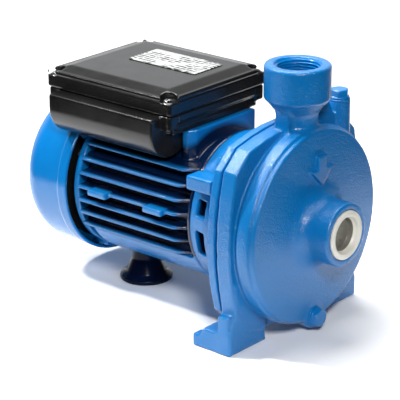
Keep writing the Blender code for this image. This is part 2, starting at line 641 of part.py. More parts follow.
def rotor():
    wet_end = [(0, 40.3), (3.9, 40.3), (4.5, 40.9), (4.5, 45.6), (6, 45.6), (6, 78), (SHAFT_RADIUS, 78)]
    core_seat = [(SHAFT_RADIUS, 109.4), (CORE_SEAT_RADIUS, 109.4), (CORE_SEAT_RADIUS, 197.6),
                 (SHAFT_RADIUS, 197.6)]
    fan_end = [(SHAFT_RADIUS, 251), (SHAFT_RADIUS - 1, 252), (0, 252)]
    shaft = turned("shaft", AXIS, wet_end + core_seat + fan_end, "zinc_steel", segments=MEDIUM)
    cut(shaft, block("keyway", (-1.7, 46.3, SHAFT_Z + 4.1), (1.7, 55.1, SHAFT_Z + 10)))
    bore = CORE_SEAT_RADIUS + GAP
    core = [(ROTOR_RADIUS, 121), (ROTOR_RADIUS, 179), (23, 186), (16, 186), (bore, 179), (bore, 121),
            (16, 114), (23, 114)]
    turned("rotor_core", AXIS, core, "lamination", segments=24)


def rear_end_shield():
    spigot, rim = HOUSING_BORE_RADIUS - GAP, 57.0
    profile = [(0, 197), (22, 197), (22, 209.5), (spigot, 209.5), (spigot, SHIELD_FRONT), (rim, SHIELD_FRONT),
               (rim, SHIELD_REAR), (0, SHIELD_REAR)]
    shield = turned("rear_end_shield", AXIS, profile, "blue_paint")
    ear_outline = [(48, -5.5), (60, -5.5), (60, 5.5), (48, 5.5)]
    for angle in COVER_SCREW_ANGLES:
        joined(shield, prism("ear", AXIS, turn_outline(ear_outline, angle), SHIELD_FRONT + 0.5, 229))
    seat = BEARING_OUTER_RADIUS + GAP
    bore = turned("bore", AXIS, [(0, 190), (seat, 190), (seat, 211.3), (9, 211.3), (9, 225), (0, 225)],
                  segments=MEDIUM)
    holes = [rod("rod_hole", at, TIE_ROD_RADIUS + GAP, 200, 225) for at in tie_rod_places()]
    pilots = [radial_rod("pilot", angle, 2.0, 50, 66) for angle in COVER_SCREW_ANGLES]
    return cut(shield, bore, *holes, *pilots)


def fixings_of_motor():
    turned("wave_spring", AXIS, tube_profile(13, 17.0, 209.4, 210.9), "zinc_steel", segments=MEDIUM)
    for number, at in enumerate(tie_rod_places(), 1):
        head = SHIELD_REAR + GAP
        tie = prism(f"tie_rod_{number}", at, hexagon(7.0), head, head + 3.5, "zinc_steel")
        joined(tie, rod("shank", at, TIE_ROD_RADIUS, 95, head + 1))
    for number, angle in enumerate(COVER_SCREW_ANGLES, 1):
        screw = radial_rod(f"fan_cover_screw_{number}", angle, 3.0, COVER_SCREW_SEAT + GAP,
                            COVER_RIM_RADIUS, "zinc_steel")
        joined(screw, radial_rod("shank", angle, 1.7, 51, COVER_SCREW_SEAT + 1))


def fan():
    hub = turned("fan", AXIS, [(7.5, 231.5), (56, 231.5), (56, 233), (13, 234), (12, 246), (7.5, 246)],
                 "black_plastic", segments=MEDIUM)
    blade_outline = [(11, -0.8), (55, -0.8), (55, 0.8), (11, 0.8)]
    for number in range(8):
        joined(hub, prism("blade", AXIS, turn_outline(blade_outline, number * 45 + 12), 232.5, 249))
    turned("fan_clip", AXIS, tube_profile(7.5, 10.0, 249.4, 250.6), "zinc_steel", segments=MEDIUM)


def fan_cover():
    """A pressed cap: a rim, a short straight wall and a large rounding into the grille."""
    rounding = 22.0
    centre = (COVER_RADIUS - rounding, TOTAL_LENGTH - rounding)
    outer = arc(centre, rounding, 0, 90, 5)
    inner = arc(centre, rounding - COVER_WALL, 90, 0, 4)
    cover = turned("fan_cover", AXIS,
                   [(COVER_RIM_RADIUS, COVER_FRONT), (COVER_RIM_RADIUS, 229), (COVER_RADIUS, 230)] + outer
                   + [(0, TOTAL_LENGTH), (0, TOTAL_LENGTH - COVER_WALL)] + inner
                   + [(COVER_RADIUS - COVER_WALL, COVER_FRONT)], "blue_paint")
    slot_outline = [(15, -2.6), (40, -3.4), (40, 3.4), (15, 2.6)]
    slots = [prism("slot", AXIS, turn_outline(slot_outline, number * 30), 262, 280) for number in range(12)]
    holes = [radial_rod("hole", angle, 2.1, 58, 70) for angle in COVER_SCREW_ANGLES]
    seats = [radial_rod("seat", angle, 3.6, COVER_SCREW_SEAT, 70) for angle in COVER_SCREW_ANGLES]
    return cut(cover, *slots, *holes, *seats)


def motor_foot():
    """A hollow flared foot under the motor, hung from a screw."""
    at = (0, MOTOR_FOOT_Y, 0)
    inside = [(17, 0), (13.5, 3.5), (6, 6), (6, 9), (2.4, 9), (2.4, 25.6)]
    rim = MOTOR_FOOT_RADIUS
    outside = [(10.5, 25.6), (10.8, 19), (12.8, 11), (17, 5.2), (rim, 2.6), (rim, 0)]
    turned("motor_foot", at, inside + outside, "navy_plastic", "Z", MEDIUM)
    screw = rod("motor_foot_screw", at, 4.5, 5.6, 8.7, "Z", "zinc_steel")
    joined(screw, rod("shank", at, 2.0, 8, 33, "Z"))


# ---------------------------------------------------------------- terminal box
LID_SCREW_PLACES = [(sx * (BOX_HALF_WIDTH - LID_SCREW_INSET), y) for sx in (-1, 1)
                    for y in (BOX_FRONT + LID_SCREW_INSET, BOX_REAR - LID_SCREW_INSET)]


def lobe_outline(radius, top):
    """A U section: a half round bottom with straight sides up to the given height."""
    half_round = arc((LOBE_X, LOBE_Z), radius, 180, 360, 10)
    return [(LOBE_X - radius, top), *half_round, (LOBE_X + radius, top)]


def crossed_blocks(inset, low, high):
    """The room inside a box wall, with its four corners left solid for the screws."""
    corner = 13.0
    rooms = []
    for dx, dy in ((inset, corner), (corner, inset)):
        x = BOX_HALF_WIDTH - dx
        rooms.append(block("room", (-x, BOX_FRONT + dy, low), (x, BOX_REAR - dy, high)))
    return rooms


def box_outline(inset, radius):
    x = BOX_HALF_WIDTH - inset
    return rounded_rectangle((-x, BOX_FRONT + inset), (x, BOX_REAR - inset), radius)


def terminal_box_base():
    base = stacked("terminal_box_base", (0, 0, 0),
                   [(box_outline(5.5, 2.5), TRAY_BOTTOM), (box_outline(1.5, 3), TRAY_BOTTOM + 6),
                    (box_outline(1.5, 3), TRAY_TOP)], "black_plastic", "Z")
    foot_outline = rounded_rectangle((-50, 122), (48.7, 214), 4)
    foot = prism("foot", (0, 0, 0), foot_outline, BOX_BOTTOM, TRAY_BOTTOM + 1, axis="Z")
    lobe = prism("lobe", (0, 0, 0), lobe_outline(LOBE_RADIUS, TRAY_TOP - 0.8), LOBE_FRONT, LOBE_REAR)
    joined(base, foot, lobe)
    capacitor_room = prism("capacitor_room", (0, 0, 0), lobe_outline(LOBE_RADIUS - 2.2, TRAY_TOP - 3.2),
                           LOBE_FRONT + 2.5, 209)
    fan_cover_room = rod("fan_cover_room", AXIS, COVER_RIM_RADIUS + 2.5, 212.5, 260, segments=FINE)
    wire_way = block("wire_way", (*WIRE_WAY[0], 140), (*WIRE_WAY[1], 155))
    gland_hole = rod("gland_hole", GLAND_AT, 4.4, 45, 60, "X")
    holes = [rod("screw_hole", (x, y, 0), 2.1, 153, 170, "Z") for x, y in LID_SCREW_PLACES]
    return cut(base, *crossed_blocks(4.5, TRAY_BOTTOM + 0.6, 170), capacitor_room, fan_cover_room, wire_way,
               gland_hole, *holes)


def terminal_box_lid():
    wall = [(box_outline(0, 3), LID_BOTTOM), (box_outline(0, 3), LID_EDGE - 1.2),
            (box_outline(1.2, 2.5), LID_EDGE)]
    plateau = [(box_outline(12.5, 2), LID_TOP - 0.4), (box_outline(13.5, 1.8), LID_TOP)]
    lid = stacked("terminal_box_lid", (0, 0, 0), wall + plateau, "black_plastic", "Z")
    notches = [rod("notch", (x, y, 0), 6.4, 171.5, 185, "Z") for x, y in LID_SCREW_PLACES]
    holes = [rod("screw_hole", (x, y, 0), 2.1, 150, 185, "Z") for x, y in LID_SCREW_PLACES]
    return cut(lid, *crossed_blocks(2.6, 150, 173.4), *notches, *holes)


def lid_gasket():
    low, high = TRAY_TOP + GAP, TRAY_TOP + 1.1
    gasket = prism("lid_gasket", (0, 0, 0), box_outline(2.0, 3), low, high, "rubber", "Z")
    holes = [rod("screw_hole", (x, y, 0), 2.3, 150, 185, "Z") for x, y in LID_SCREW_PLACES]
    return cut(gasket, *crossed_blocks(4.6, 150, 170), *holes)


def lid_screws():
    profile = [(0, 154), (1.8, 154), (1.8, 171.8), (4.0, 171.8), (4.0, 173.4), (3.2, 174.4), (0, 174.4)]
    for number, (x, y) in enumerate(LID_SCREW_PLACES, 1):
        screw = turned(f"lid_screw_{number}", (x, y, 0), profile, "zinc_steel", "Z", COARSE)
        cut(screw, block("slot", (x - 3, y - 0.5, 173.6), (x + 3, y + 0.5, 180)))


def inside_of_box():
    can = [(0, 136), (13.5, 136), (14.5, 137), (14.5, 205), (13.5, 206), (0, 206)]
    turned("capacitor", (LOBE_X, 0, LOBE_Z - 4.5), can, "grey_plastic", "Y", MEDIUM)
    low = TRAY_BOTTOM + 0.9
    board = block("terminal_board", (-2, 138, low), (34, 174, low + 3.1), "grey_plastic")
    studs = [rod("stud", (x, y, 0), 2, low + 2, low + 8, "Z") for x in (4, 16, 28) for y in (146, 166)]
    joined(board, *studs)


def gland():
    """A gland screwed through the box wall, and the domed nut that grips the cable."""
    outline, cable_radius = hexagon(11.0, 30), 3.0
    face = BOX_HALF_WIDTH - 1.0
    flange_end, collar_end = face + 5, face + 9
    body = prism("cable_gland", GLAND_AT, outline, face + GAP, flange_end, "black_plastic", "X")
    thread = rod("thread", GLAND_AT, 4.0, 50.5, face + 1, "X")
    collar = rod("collar", GLAND_AT, 4.4, flange_end - 1, collar_end, "X")
    joined(body, thread, collar)
    cut(body, rod("bore", GLAND_AT, cable_radius, 40, 80, "X"))
    low = flange_end + GAP
    nut = prism("gland_nut", GLAND_AT, outline, low, low + 8, "black_plastic", "X")
    dome_outline = [(0, low + 7), (5.5, low + 7), (5.2, low + 10), (4, low + 12), (0, low + 12)]
    joined(nut, turned("dome", GLAND_AT, dome_outline, axis="X", segments=COARSE))
    inside = rod("inside", GLAND_AT, 4.7, 50, collar_end + GAP, "X")
    cut(nut, inside, rod("bore", GLAND_AT, cable_radius, 40, 90, "X"))


def rating_plate():
    outline = rounded_rectangle((-3, 142), (31, 209), 1.5, 2)
    prism("rating_plate", (0, 0, 0), outline, LID_TOP + GAP, LID_TOP + 0.7, "label", "Z")


# ---------------------------------------------------------------- assembly
def shade(obj):
    obj.data.shade_smooth()
    obj.data.set_sharp_from_angle(angle=radians(32))


def build():
    for obj in list(bpy.data.objects):
        bpy.data.objects.remove(obj)
    wet_end = (pump_body, suction_plug, plugs, body_gasket, impeller, impeller_fixings, mechanical_seal,
               seal_plate)
    drive_end = (bracket, bracket_bolts, slinger, motor_housing, stator, rotor, rear_end_shield,
                 fixings_of_motor, fan, fan_cover, motor_foot)
    terminal_box = (terminal_box_base, terminal_box_lid, lid_gasket, lid_screws, inside_of_box, gland,
                    rating_plate)
    for make in wet_end + drive_end + terminal_box:
        make()
    for place in BEARING_FRONTS:
        bearing(place)
    middle = bpy.data.objects.new("pump_frame", None)
    bpy.context.scene.collection.objects.link(middle)
    middle.location = (0, -(TOTAL_LENGTH - SUCTION_PLUG_PROUD) / 2 * MM, 0)
    for obj in bpy.data.objects:
        if obj.type == "MESH":
            shade(obj)
            obj.parent = middle
    bpy.context.view_layer.update()


build()
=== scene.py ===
"""Looks of a close-coupled centrifugal water pump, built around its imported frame.

Sizes are in millimetres in the pump's own datum: X from the shaft's upright plane, Y from the
suction face along the shaft, Z from the floor. They become metres in the frame when a mesh is
made. Castings and mouldings are distance fields, negative inside, which are joined with fillets
and then turned into meshes.
"""
import json
from itertools import product
from math import cos, pi, radians, sin, tau

import bmesh
import bpy
import numpy as np
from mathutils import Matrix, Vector

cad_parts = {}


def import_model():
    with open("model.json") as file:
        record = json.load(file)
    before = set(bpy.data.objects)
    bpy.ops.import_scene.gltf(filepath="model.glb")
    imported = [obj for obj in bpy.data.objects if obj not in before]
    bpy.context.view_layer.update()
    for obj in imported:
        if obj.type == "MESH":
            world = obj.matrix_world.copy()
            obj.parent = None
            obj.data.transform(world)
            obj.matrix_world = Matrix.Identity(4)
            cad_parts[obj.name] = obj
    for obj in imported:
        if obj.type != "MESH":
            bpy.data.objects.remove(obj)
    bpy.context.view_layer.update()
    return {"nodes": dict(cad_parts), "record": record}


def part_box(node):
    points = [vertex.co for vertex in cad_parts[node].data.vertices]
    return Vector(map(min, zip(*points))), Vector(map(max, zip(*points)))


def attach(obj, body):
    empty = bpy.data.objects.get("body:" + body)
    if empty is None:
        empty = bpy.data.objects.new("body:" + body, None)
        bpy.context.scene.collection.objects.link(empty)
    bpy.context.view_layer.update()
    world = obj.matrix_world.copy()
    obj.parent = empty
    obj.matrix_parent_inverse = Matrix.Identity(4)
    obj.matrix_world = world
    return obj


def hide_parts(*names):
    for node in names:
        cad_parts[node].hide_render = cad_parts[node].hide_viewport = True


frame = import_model()

MM = 0.001
SUCTION_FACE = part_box("pump_body")[0].y     # the datum's Y = 0, in the frame's metres
COARSEN = 1.0


# ---------------------------------------------------------------- places read from the frame
def span(node):
    """Lowest and highest corner of a CAD node in the datum's millimetres."""
    shift = np.array((0.0, SUCTION_FACE, 0.0))
    return [(np.array(corner) - shift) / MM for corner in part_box(node)]


def middle(node):
    low, high = span(node)
    return (low + high) / 2


BODY_LOW, BODY_HIGH = span("pump_body")
SHAFT_Z = float(middle("shaft")[2])
PORT_TOP = BODY_HIGH[2]
PORT_Y = float(middle("priming_plug_washer")[1])
PRIMING_X = float(middle("priming_plug")[0])
PRIMING_TOP = span("priming_plug_washer")[0][2] - 0.3
DRAIN_Z = float(middle("drain_plug")[2])
DRAIN_FRONT = span("drain_plug_washer")[1][1] + 0.3
GASKET_FRONT, GASKET_REAR = span("body_gasket")[0][1], span("body_gasket")[1][1]
FLANGE_REAR = GASKET_FRONT - 0.3
BRACKET_FRONT = span("bracket")[0][1]
HOUSING_LOW, HOUSING_HIGH = span("motor_housing")
COVER_LOW, COVER_HIGH = span("fan_cover")
SHIELD_LOW, SHIELD_HIGH = span("rear_end_shield")
LID_LOW, LID_HIGH = span("terminal_box_lid")
TRAY_LOW, TRAY_HIGH = span("terminal_box_base")
FOOT_PAD_HIGH = span("motor_foot")[1]


# ---------------------------------------------------------------- distance fields
def smooth_min(a, b, blend):
    h = np.maximum(blend - np.abs(a - b), 0) / blend
    return np.minimum(a, b) - h * h * blend / 4


def union(blend, first, *others):
    for other in others:
        first = smooth_min(first, other, blend)
    return first


def common(blend, first, *others):
    for other in others:
        first = -smooth_min(-first, -other, blend)
    return first


def less(blend, first, *tools):
    return common(blend, first, *[-tool for tool in tools])


def outline_field(u, v, outline):
    """Signed distance to a closed outline."""
    squared = np.full(u.shape, 1e12)
    inside = np.zeros(u.shape, bool)
    for (ax, ay), (bx, by) in zip(outline, outline[1:] + outline[:1]):
        ex, ey = bx - ax, by - ay
        px, py = u - ax, v - ay
        along = np.clip((px * ex + py * ey) / max(ex * ex + ey * ey, 1e-12), 0, 1)
        squared = np.minimum(squared, (px - along * ex) ** 2 + (py - along * ey) ** 2)
        if ey:
            inside ^= ((ay > v) != (by > v)) & (px < ex * py / ey)
    return np.where(inside, -1.0, 1.0) * np.sqrt(squared)


def box_field(p, low, high, edge):
    """A box with rounded edges."""
    low, high = np.array(low, float), np.array(high, float)
    q = np.abs(p - (low + high) / 2) - (high - low) / 2 + edge
    outer = np.sqrt((np.maximum(q, 0) ** 2).sum(1))
    return outer + np.minimum(q.max(1), 0) - edge


def rod_field(radial, along, radius, low, high, edge):
    """A cylinder with rounded rims, from the distance to its axis and the place along it."""
    a, b = radial - radius + edge, np.abs(along - (low + high) / 2) - (high - low) / 2 + edge
    return np.hypot(np.maximum(a, 0), np.maximum(b, 0)) + np.minimum(np.maximum(a, b), 0) - edge


def slab(field, along, low, high, edge):
    """An outline's field cut to a length, with its rims rounded."""
    return common(edge, field, low - along, along - high)


def rounded(corners, steps=5):
    """A closed outline whose (x, y, radius) corners are rounded by arcs."""
    points = []
    for i, (x, y, radius) in enumerate(corners):
        if not radius:
            points.append((x, y))
            continue
        here = Vector((x, y))
        before = Vector(corners[i - 1][:2]) - here
        after = Vector(corners[(i + 1) % len(corners)][:2]) - here
        half = before.angle(after) / 2
        inward = (before.normalized() + after.normalized()).normalized()
        reach = min(radius / np.tan(half), 0.49 * min(before.length, after.length))
        radius = reach * np.tan(half)
        centre = here + inward * radius / sin(half)
        start, end = here + before.normalized() * reach - centre, here + after.normalized() * reach - centre
        turn = start.angle_signed(end)
        for step in range(steps + 1):
            angle = -turn * step / steps
            points.append((centre.x + start.x * cos(angle) - start.y * sin(angle),
                           centre.y + start.x * sin(angle) + start.y * cos(angle)))
    return points


def arc(centre, radius, start, end, steps):
    angles = [radians(start + (end - start) * i / steps) for i in range(steps + 1)]
    return [(centre[0] + radius * cos(a), centre[1] + radius * sin(a)) for a in angles]


def nearest(u, v, places):
    """Distance to the nearest of some places."""
    return np.min([np.hypot(u - place_u, v - place_v) for place_u, place_v in places], 0)


def from_spoke(x, up, count, start=0.0):
    """Places along and across the nearest of equally spaced spokes."""
    sector = tau / count
    turn = np.arctan2(up, x) - start
    local = turn - sector * np.round(turn / sector)
    radial = np.hypot(x, up)
    return radial * np.cos(local), radial * np.sin(local)


AXIS_SIDE = -60.0               # an outline turned about the axis starts this far past it


# ---------------------------------------------------------------- meshes
def grid_of(field, low, high, step):
    """Field values on a grid, worked out finely only near the surface."""
    block = 4
    count = np.ceil((high - low) / (step * block)).astype(int)
    axes = [low[i] + step * block * (np.arange(count[i]) + 0.5) for i in range(3)]
    centres = np.stack(np.meshgrid(*axes, indexing="ij"), -1).reshape(-1, 3)
    values = field(centres).reshape(count)
    near = np.abs(values) < step * block * 1.1
    for axis in range(3):
        values, near = values.repeat(block, axis), near.repeat(block, axis)
    values[near] = field(low + step * (np.argwhere(near) + 0.5))
    return values


def surface_net(values):
    """Points and quads of the zero surface, one point in each cell that it crosses."""
    inside = values < 0
    offsets = np.array(list(product((0, 1), repeat=3)))
    shape = np.array(values.shape) - 1
    windows = [inside[i:shape[0] + i, j:shape[1] + j, k:shape[2] + k] for i, j, k in offsets]
    total = sum(window.astype(np.int8) for window in windows)
    crossed = (total > 0) & (total < 8)
    cells = np.argwhere(crossed)
    number = np.full(crossed.shape, -1)
    number[crossed] = np.arange(len(cells))
    corner = np.stack([values[tuple((cells + offset).T)] for offset in offsets], 1)
    place, hits = np.zeros((len(cells), 3)), np.zeros(len(cells))
    for a, b in product(range(8), repeat=2):
        if b <= a or np.abs(offsets[a] - offsets[b]).sum() != 1:
            continue
        change = (corner[:, a] < 0) != (corner[:, b] < 0)
        share = corner[change, a] / (corner[change, a] - corner[change, b])
        place[change] += offsets[a] + share[:, None] * (offsets[b] - offsets[a])
        hits[change] += 1
    quads = []
    for axis in range(3):
        u, v = np.eye(3, dtype=int)[(axis + 1) % 3], np.eye(3, dtype=int)[(axis + 2) % 3]
        ahead = np.roll(inside, -1, axis)
        edges = np.argwhere(inside != ahead)
        keep = (edges[:, axis] < shape[axis]) & (edges @ u > 0) & (edges @ v > 0)
        keep &= (edges < shape).all(1)
        edges = edges[keep]
        ring = [number[tuple((edges - step).T)] for step in (0 * u, u, u + v, v)]
        quad = np.stack(ring, 1)
        outward = inside[tuple(edges.T)]
        quads.append(np.where(outward[:, None], quad, quad[:, ::-1]))
    return cells + place / hits[:, None], np.concatenate(quads)


def settle(points, field, step):
    """Move points onto the field's zero surface."""
    small = 0.02
    for _ in range(2):
        here = field(points)
        slope = np.stack([(field(points + small * axis) - here) / small for axis in np.eye(3)], 1)
        steepness = np.maximum((slope ** 2).sum(1), 0.2)
        move = np.clip(here / steepness, -0.6 * step, 0.6 * step)
        points = points - move[:, None] * slope
    return points


def to_frame(points):
    return np.asarray(points, float) * MM + np.array((0.0, SUCTION_FACE, 0.0))


def piece(name, points, faces, material, body="casing", stands_for=()):
    """An object in the frame from points in the datum, riding on a body."""
    mesh = bpy.data.meshes.new(name)
    points = to_frame(points)
    if isinstance(faces, np.ndarray):
        mesh.vertices.add(len(points))
        mesh.vertices.foreach_set("co", points.ravel())
        mesh.loops.add(faces.size)
        mesh.loops.foreach_set("vertex_index", faces.ravel())
        mesh.polygons.add(len(faces))
        mesh.polygons.foreach_set("loop_start", np.arange(0, faces.size, faces.shape[1]))
        mesh.update(calc_edges=True)
    else:
        mesh.from_pydata(points.tolist(), [], faces)
    mesh.validate()
    mesh.shade_smooth()
    obj = bpy.data.objects.new(name, mesh)
    bpy.context.scene.collection.objects.link(obj)
    mesh.materials.append(material)
    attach(obj, body)
    for node in stands_for:
        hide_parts(node)
    return obj


def carved(name, field, low, high, step, material, body="casing", stands_for=()):
    """A piece from a distance field inside a box."""
    step = step * COARSEN
    low, high = np.array(low, float) - 3 * step, np.array(high, float) + 3 * step
    points, quads = surface_net(grid_of(field, low, high, step))
    points = settle(low + step * (points + 0.5), field, step)
    return piece(name, points, quads, material, body, stands_for)


AXES = {                        # two directions across, then the one along
    "X": np.array(((0, 1, 0), (0, 0, 1), (1, 0, 0)), float),
    "Y": np.array(((0, 0, 1), (1, 0, 0), (0, 1, 0)), float),
    "Z": np.array(((1, 0, 0), (0, 1, 0), (0, 0, 1)), float),
}


def turned(name, centre, axis, outline, material, body="casing", stands_for=(), segments=128):
    """Turn an outline of (radius, distance along) about an axis; radius 0 is a pole."""
    across, up, along = AXES[axis]
    points, rings, faces = [], [], []
    for radius, distance in outline:
        count = segments if radius > 1e-6 else 1
        rings.append(list(range(len(points), len(points) + count)))
        for i in range(count):
            spoke = across * cos(tau * i / count) + up * sin(tau * i / count)
            points.append(np.array(centre) + along * distance + spoke * radius)
    for ring, after in zip(rings, rings[1:] + rings[:1]):
        for i in range(segments):
            j = (i + 1) % segments
            corners = [ring[i % len(ring)], ring[j % len(ring)], after[j % len(after)], after[i % len(after)]]
            corners = list(dict.fromkeys(corners))
            if len(corners) > 2:
                faces.append(corners)
    obj = piece(name, points, faces, material, body, stands_for)
    outward(obj)
    return obj


def outward(obj):
    bm = bmesh.new()
    bm.from_mesh(obj.data)
    bmesh.ops.recalc_face_normals(bm, faces=bm.faces)
    bm.to_mesh(obj.data)
    bm.free()
    obj.data.set_sharp_from_angle(angle=radians(40))


# ---------------------------------------------------------------- materials
SLOTS = {part["node"]: part["material_slot"] for part in frame["record"]["subparts"]}


def add_node(nodes, kind, operation=None, **numbers):
    """A shader node with its operation and the numbers of its named sockets."""
    node = nodes.new("ShaderNode" + kind)
    if operation:
        node.operation = operation
    for socket, number in numbers.items():
        node.inputs[socket.replace("_", " ")].default_value = number
    return node


class Surface:
    """A material whose colour, roughness and relief come from nodes in object space."""

    def __init__(self, name, **values):
        self.material = bpy.data.materials.new(name)
        self.material.use_nodes = True
        self.nodes = self.material.node_tree.nodes
        self.links = self.material.node_tree.links
        self.shader = self.nodes["Principled BSDF"]
        for socket, value in values.items():
            self.shader.inputs[socket.replace("_", " ")].default_value = value
        self.place = add_node(self.nodes, "TexCoord").outputs["Object"]

    def noise(self, per_metre, detail=3.0, roughness=0.5, stretch=None):
        source = self.place
        if stretch:
            mapping = add_node(self.nodes, "Mapping", Scale=stretch)
            self.links.new(source, mapping.inputs["Vector"])
            source = mapping.outputs["Vector"]
        node = add_node(self.nodes, "TexNoise", Scale=per_metre, Detail=detail, Roughness=roughness)
        self.links.new(source, node.inputs["Vector"])
        return node.outputs["Fac"]

    def ranged(self, value, low, high, start=0.3, end=0.7):
        node = add_node(self.nodes, "MapRange", From_Min=start, From_Max=end, To_Min=low, To_Max=high)
        self.links.new(value, node.inputs["Value"])
        return node.outputs["Result"]

    def mixed(self, factor, low, high):
        """A colour between two, each of them numbers or another node's output."""
        node = add_node(self.nodes, "Mix")
        node.data_type = "RGBA"
        for socket, value in (("A", low), ("B", high)):
            if isinstance(value, bpy.types.NodeSocket):
                self.links.new(value, node.inputs[socket])
            else:
                node.inputs[socket].default_value = (*value, 1)
        self.links.new(factor, node.inputs["Factor"])
        return node.outputs["Result"]

    def multiplied(self, first, *others):
        for other in others:
            node = add_node(self.nodes, "Math", "MULTIPLY")
            self.links.new(first, node.inputs[0])
            self.links.new(other, node.inputs[1])
            first = node.outputs["Value"]
        return first

    def from_shaft(self):
        """Distance from the shaft's axis, in metres."""
        across = add_node(self.nodes, "VectorMath", "SUBTRACT")
        across.inputs[1].default_value = (0, 0, SHAFT_Z * MM)
        flat = add_node(self.nodes, "VectorMath", "MULTIPLY")
        flat.inputs[1].default_value = (1, 0, 1)
        length = add_node(self.nodes, "VectorMath", "LENGTH")
        self.links.new(self.place, across.inputs[0])
        self.links.new(across.outputs["Vector"], flat.inputs[0])
        self.links.new(flat.outputs["Vector"], length.inputs[0])
        return length.outputs["Value"]

    def height(self):
        apart = add_node(self.nodes, "SeparateXYZ")
        self.links.new(self.place, apart.inputs["Vector"])
        return apart.outputs["Z"]

    def relief(self, *layers):
        """Bumps in turn, each a (height, strength, depth in metres)."""
        normal = None
        for height, strength, depth in layers:
            node = add_node(self.nodes, "Bump", Strength=strength, Distance=depth)
            self.links.new(height, node.inputs["Height"])
            if normal:
                self.links.new(normal, node.inputs["Normal"])
            normal = node.outputs["Normal"]
        self.links.new(normal, self.shader.inputs["Normal"])

    def drive(self, socket, value):
        self.links.new(value, self.shader.inputs[socket])

    def colour_by(self, value, low, high):
        self.drive("Base Color", self.mixed(self.ranged(value, 0, 1), low, high))

    def roughen_by(self, value, low, high):
        self.drive("Roughness", self.ranged(value, low, high))


def blue_enamel(name, grain, hollow=None, lowest=0.0):
    """Gloss enamel over sand-cast iron: orange peel and, at full grain, a fine cast texture.

    Hollow gives two distances from the shaft, in metres, between which the colour turns from a painted shade,
    dark near the shaft, to the plain paint; below the lowest height no shade is painted.
    """
    surface = Surface(name, IOR=1.5, Specular_IOR_Level=0.55)
    drift = surface.ranged(surface.noise(14, 4), 0, 1)
    colour = surface.mixed(drift, (0.002, 0.139, 0.405), (0.003, 0.158, 0.45))
    # Painted shade: towards the shaft the colour is mixed to a near-black blue for the shade in deep gaps.
    if hollow:
        shaded = surface.multiplied(surface.ranged(surface.from_shaft(), 1, 0, *hollow),
                                    surface.ranged(surface.height(), 0, 1, lowest, lowest + 0.002))
        painted_shade_colour = surface.mixed(drift, (0.001, 0.006, 0.03), (0.001, 0.012, 0.05))
        colour = surface.mixed(shaded, colour, painted_shade_colour)
    surface.drive("Base Color", colour)
    surface.roughen_by(surface.noise(90, 3), 0.10, 0.19)
    surface.relief((surface.noise(380, 2), 0.25 * grain, 0.0008),
                   (surface.noise(900, 2), 0.7 * grain, 0.0006))
    return surface.material


def black_moulding(name, tint, gloss, specular=0.45):
    surface = Surface(name, IOR=1.5, Specular_IOR_Level=specular)
    lighter = [channel * 1.5 for channel in tint]
    surface.colour_by(surface.noise(30), tint, lighter)
    surface.roughen_by(surface.noise(60, 4), gloss, gloss + 0.07)
    surface.relief((surface.noise(700, 2), 0.05, 0.0002))
    return surface.material


def metal(name, low, high, roughness, stretch=(1, 1, 1)):
    surface = Surface(name, Metallic=1.0)
    brushed = surface.noise(500, 3, 0.6, stretch)
    surface.colour_by(brushed, low, high)
    surface.roughen_by(surface.noise(120, 3), roughness, roughness + 0.18)
    surface.relief((brushed, 0.12, 0.0002))
    return surface.material


def plain(name, low, high, roughness, grain=0.1, **values):
    surface = Surface(name, **values)
    surface.colour_by(surface.noise(60, 4), low, high)
    surface.roughen_by(surface.noise(200, 3), roughness, roughness + 0.12)
    surface.relief((surface.noise(900, 3), grain, 0.0002))
    return surface.material


def laminated(name):
    """Stacked sheet steel, its layers across the shaft."""
    surface = Surface(name, Metallic=0.85)
    layers = surface.noise(60, 1, 0.5, (1, 60, 1))
    surface.colour_by(layers, (0.16, 0.16, 0.17), (0.34, 0.34, 0.35))
    surface.roughen_by(layers, 0.35, 0.6)
    surface.relief((layers, 0.5, 0.0003))
    return surface.material


def wound(name):
    """Varnished copper wires side by side round the shaft."""
    surface = Surface(name, Metallic=0.9, Coat_Weight=0.5, Coat_Roughness=0.2)
    wires = add_node(surface.nodes, "TexWave", Scale=260)
    wires.wave_type, wires.rings_direction = "RINGS", "Y"
    surface.links.new(surface.place, wires.inputs["Vector"])
    height = wires.outputs["Fac"]
    surface.drive("Base Color", surface.mixed(height, (0.35, 0.09, 0.03), (0.80, 0.30, 0.12)))
    surface.roughen_by(surface.noise(300), 0.25, 0.45)
    surface.relief((height, 0.6, 0.0004))
    return surface.material


def label_film(name):
    """A white film with rows of small grey marks in a plain border, and no lettering."""
    surface = Surface(name, IOR=1.45)
    rows = add_node(surface.nodes, "TexWave", Scale=80)
    rows.bands_direction = "X"
    surface.links.new(surface.place, rows.inputs["Vector"])
    marks = surface.noise(1, 1, 0.5, (500, 260, 1))
    blocks = surface.noise(1, 0, 0.5, (90, 50, 1))
    ink = surface.multiplied(surface.ranged(marks, 0, 1, 0.36, 0.46),
                             surface.ranged(rows.outputs["Fac"], 0, 1, 0.15, 0.35),
                             surface.ranged(blocks, 0.4, 1, 0.38, 0.46))
    surface.drive("Base Color", surface.mixed(ink, (0.50, 0.51, 0.50), (0.045, 0.047, 0.05)))
    surface.roughen_by(surface.noise(150), 0.3, 0.42)
    surface.relief((surface.noise(500), 0.04, 0.0001))
    return surface.material


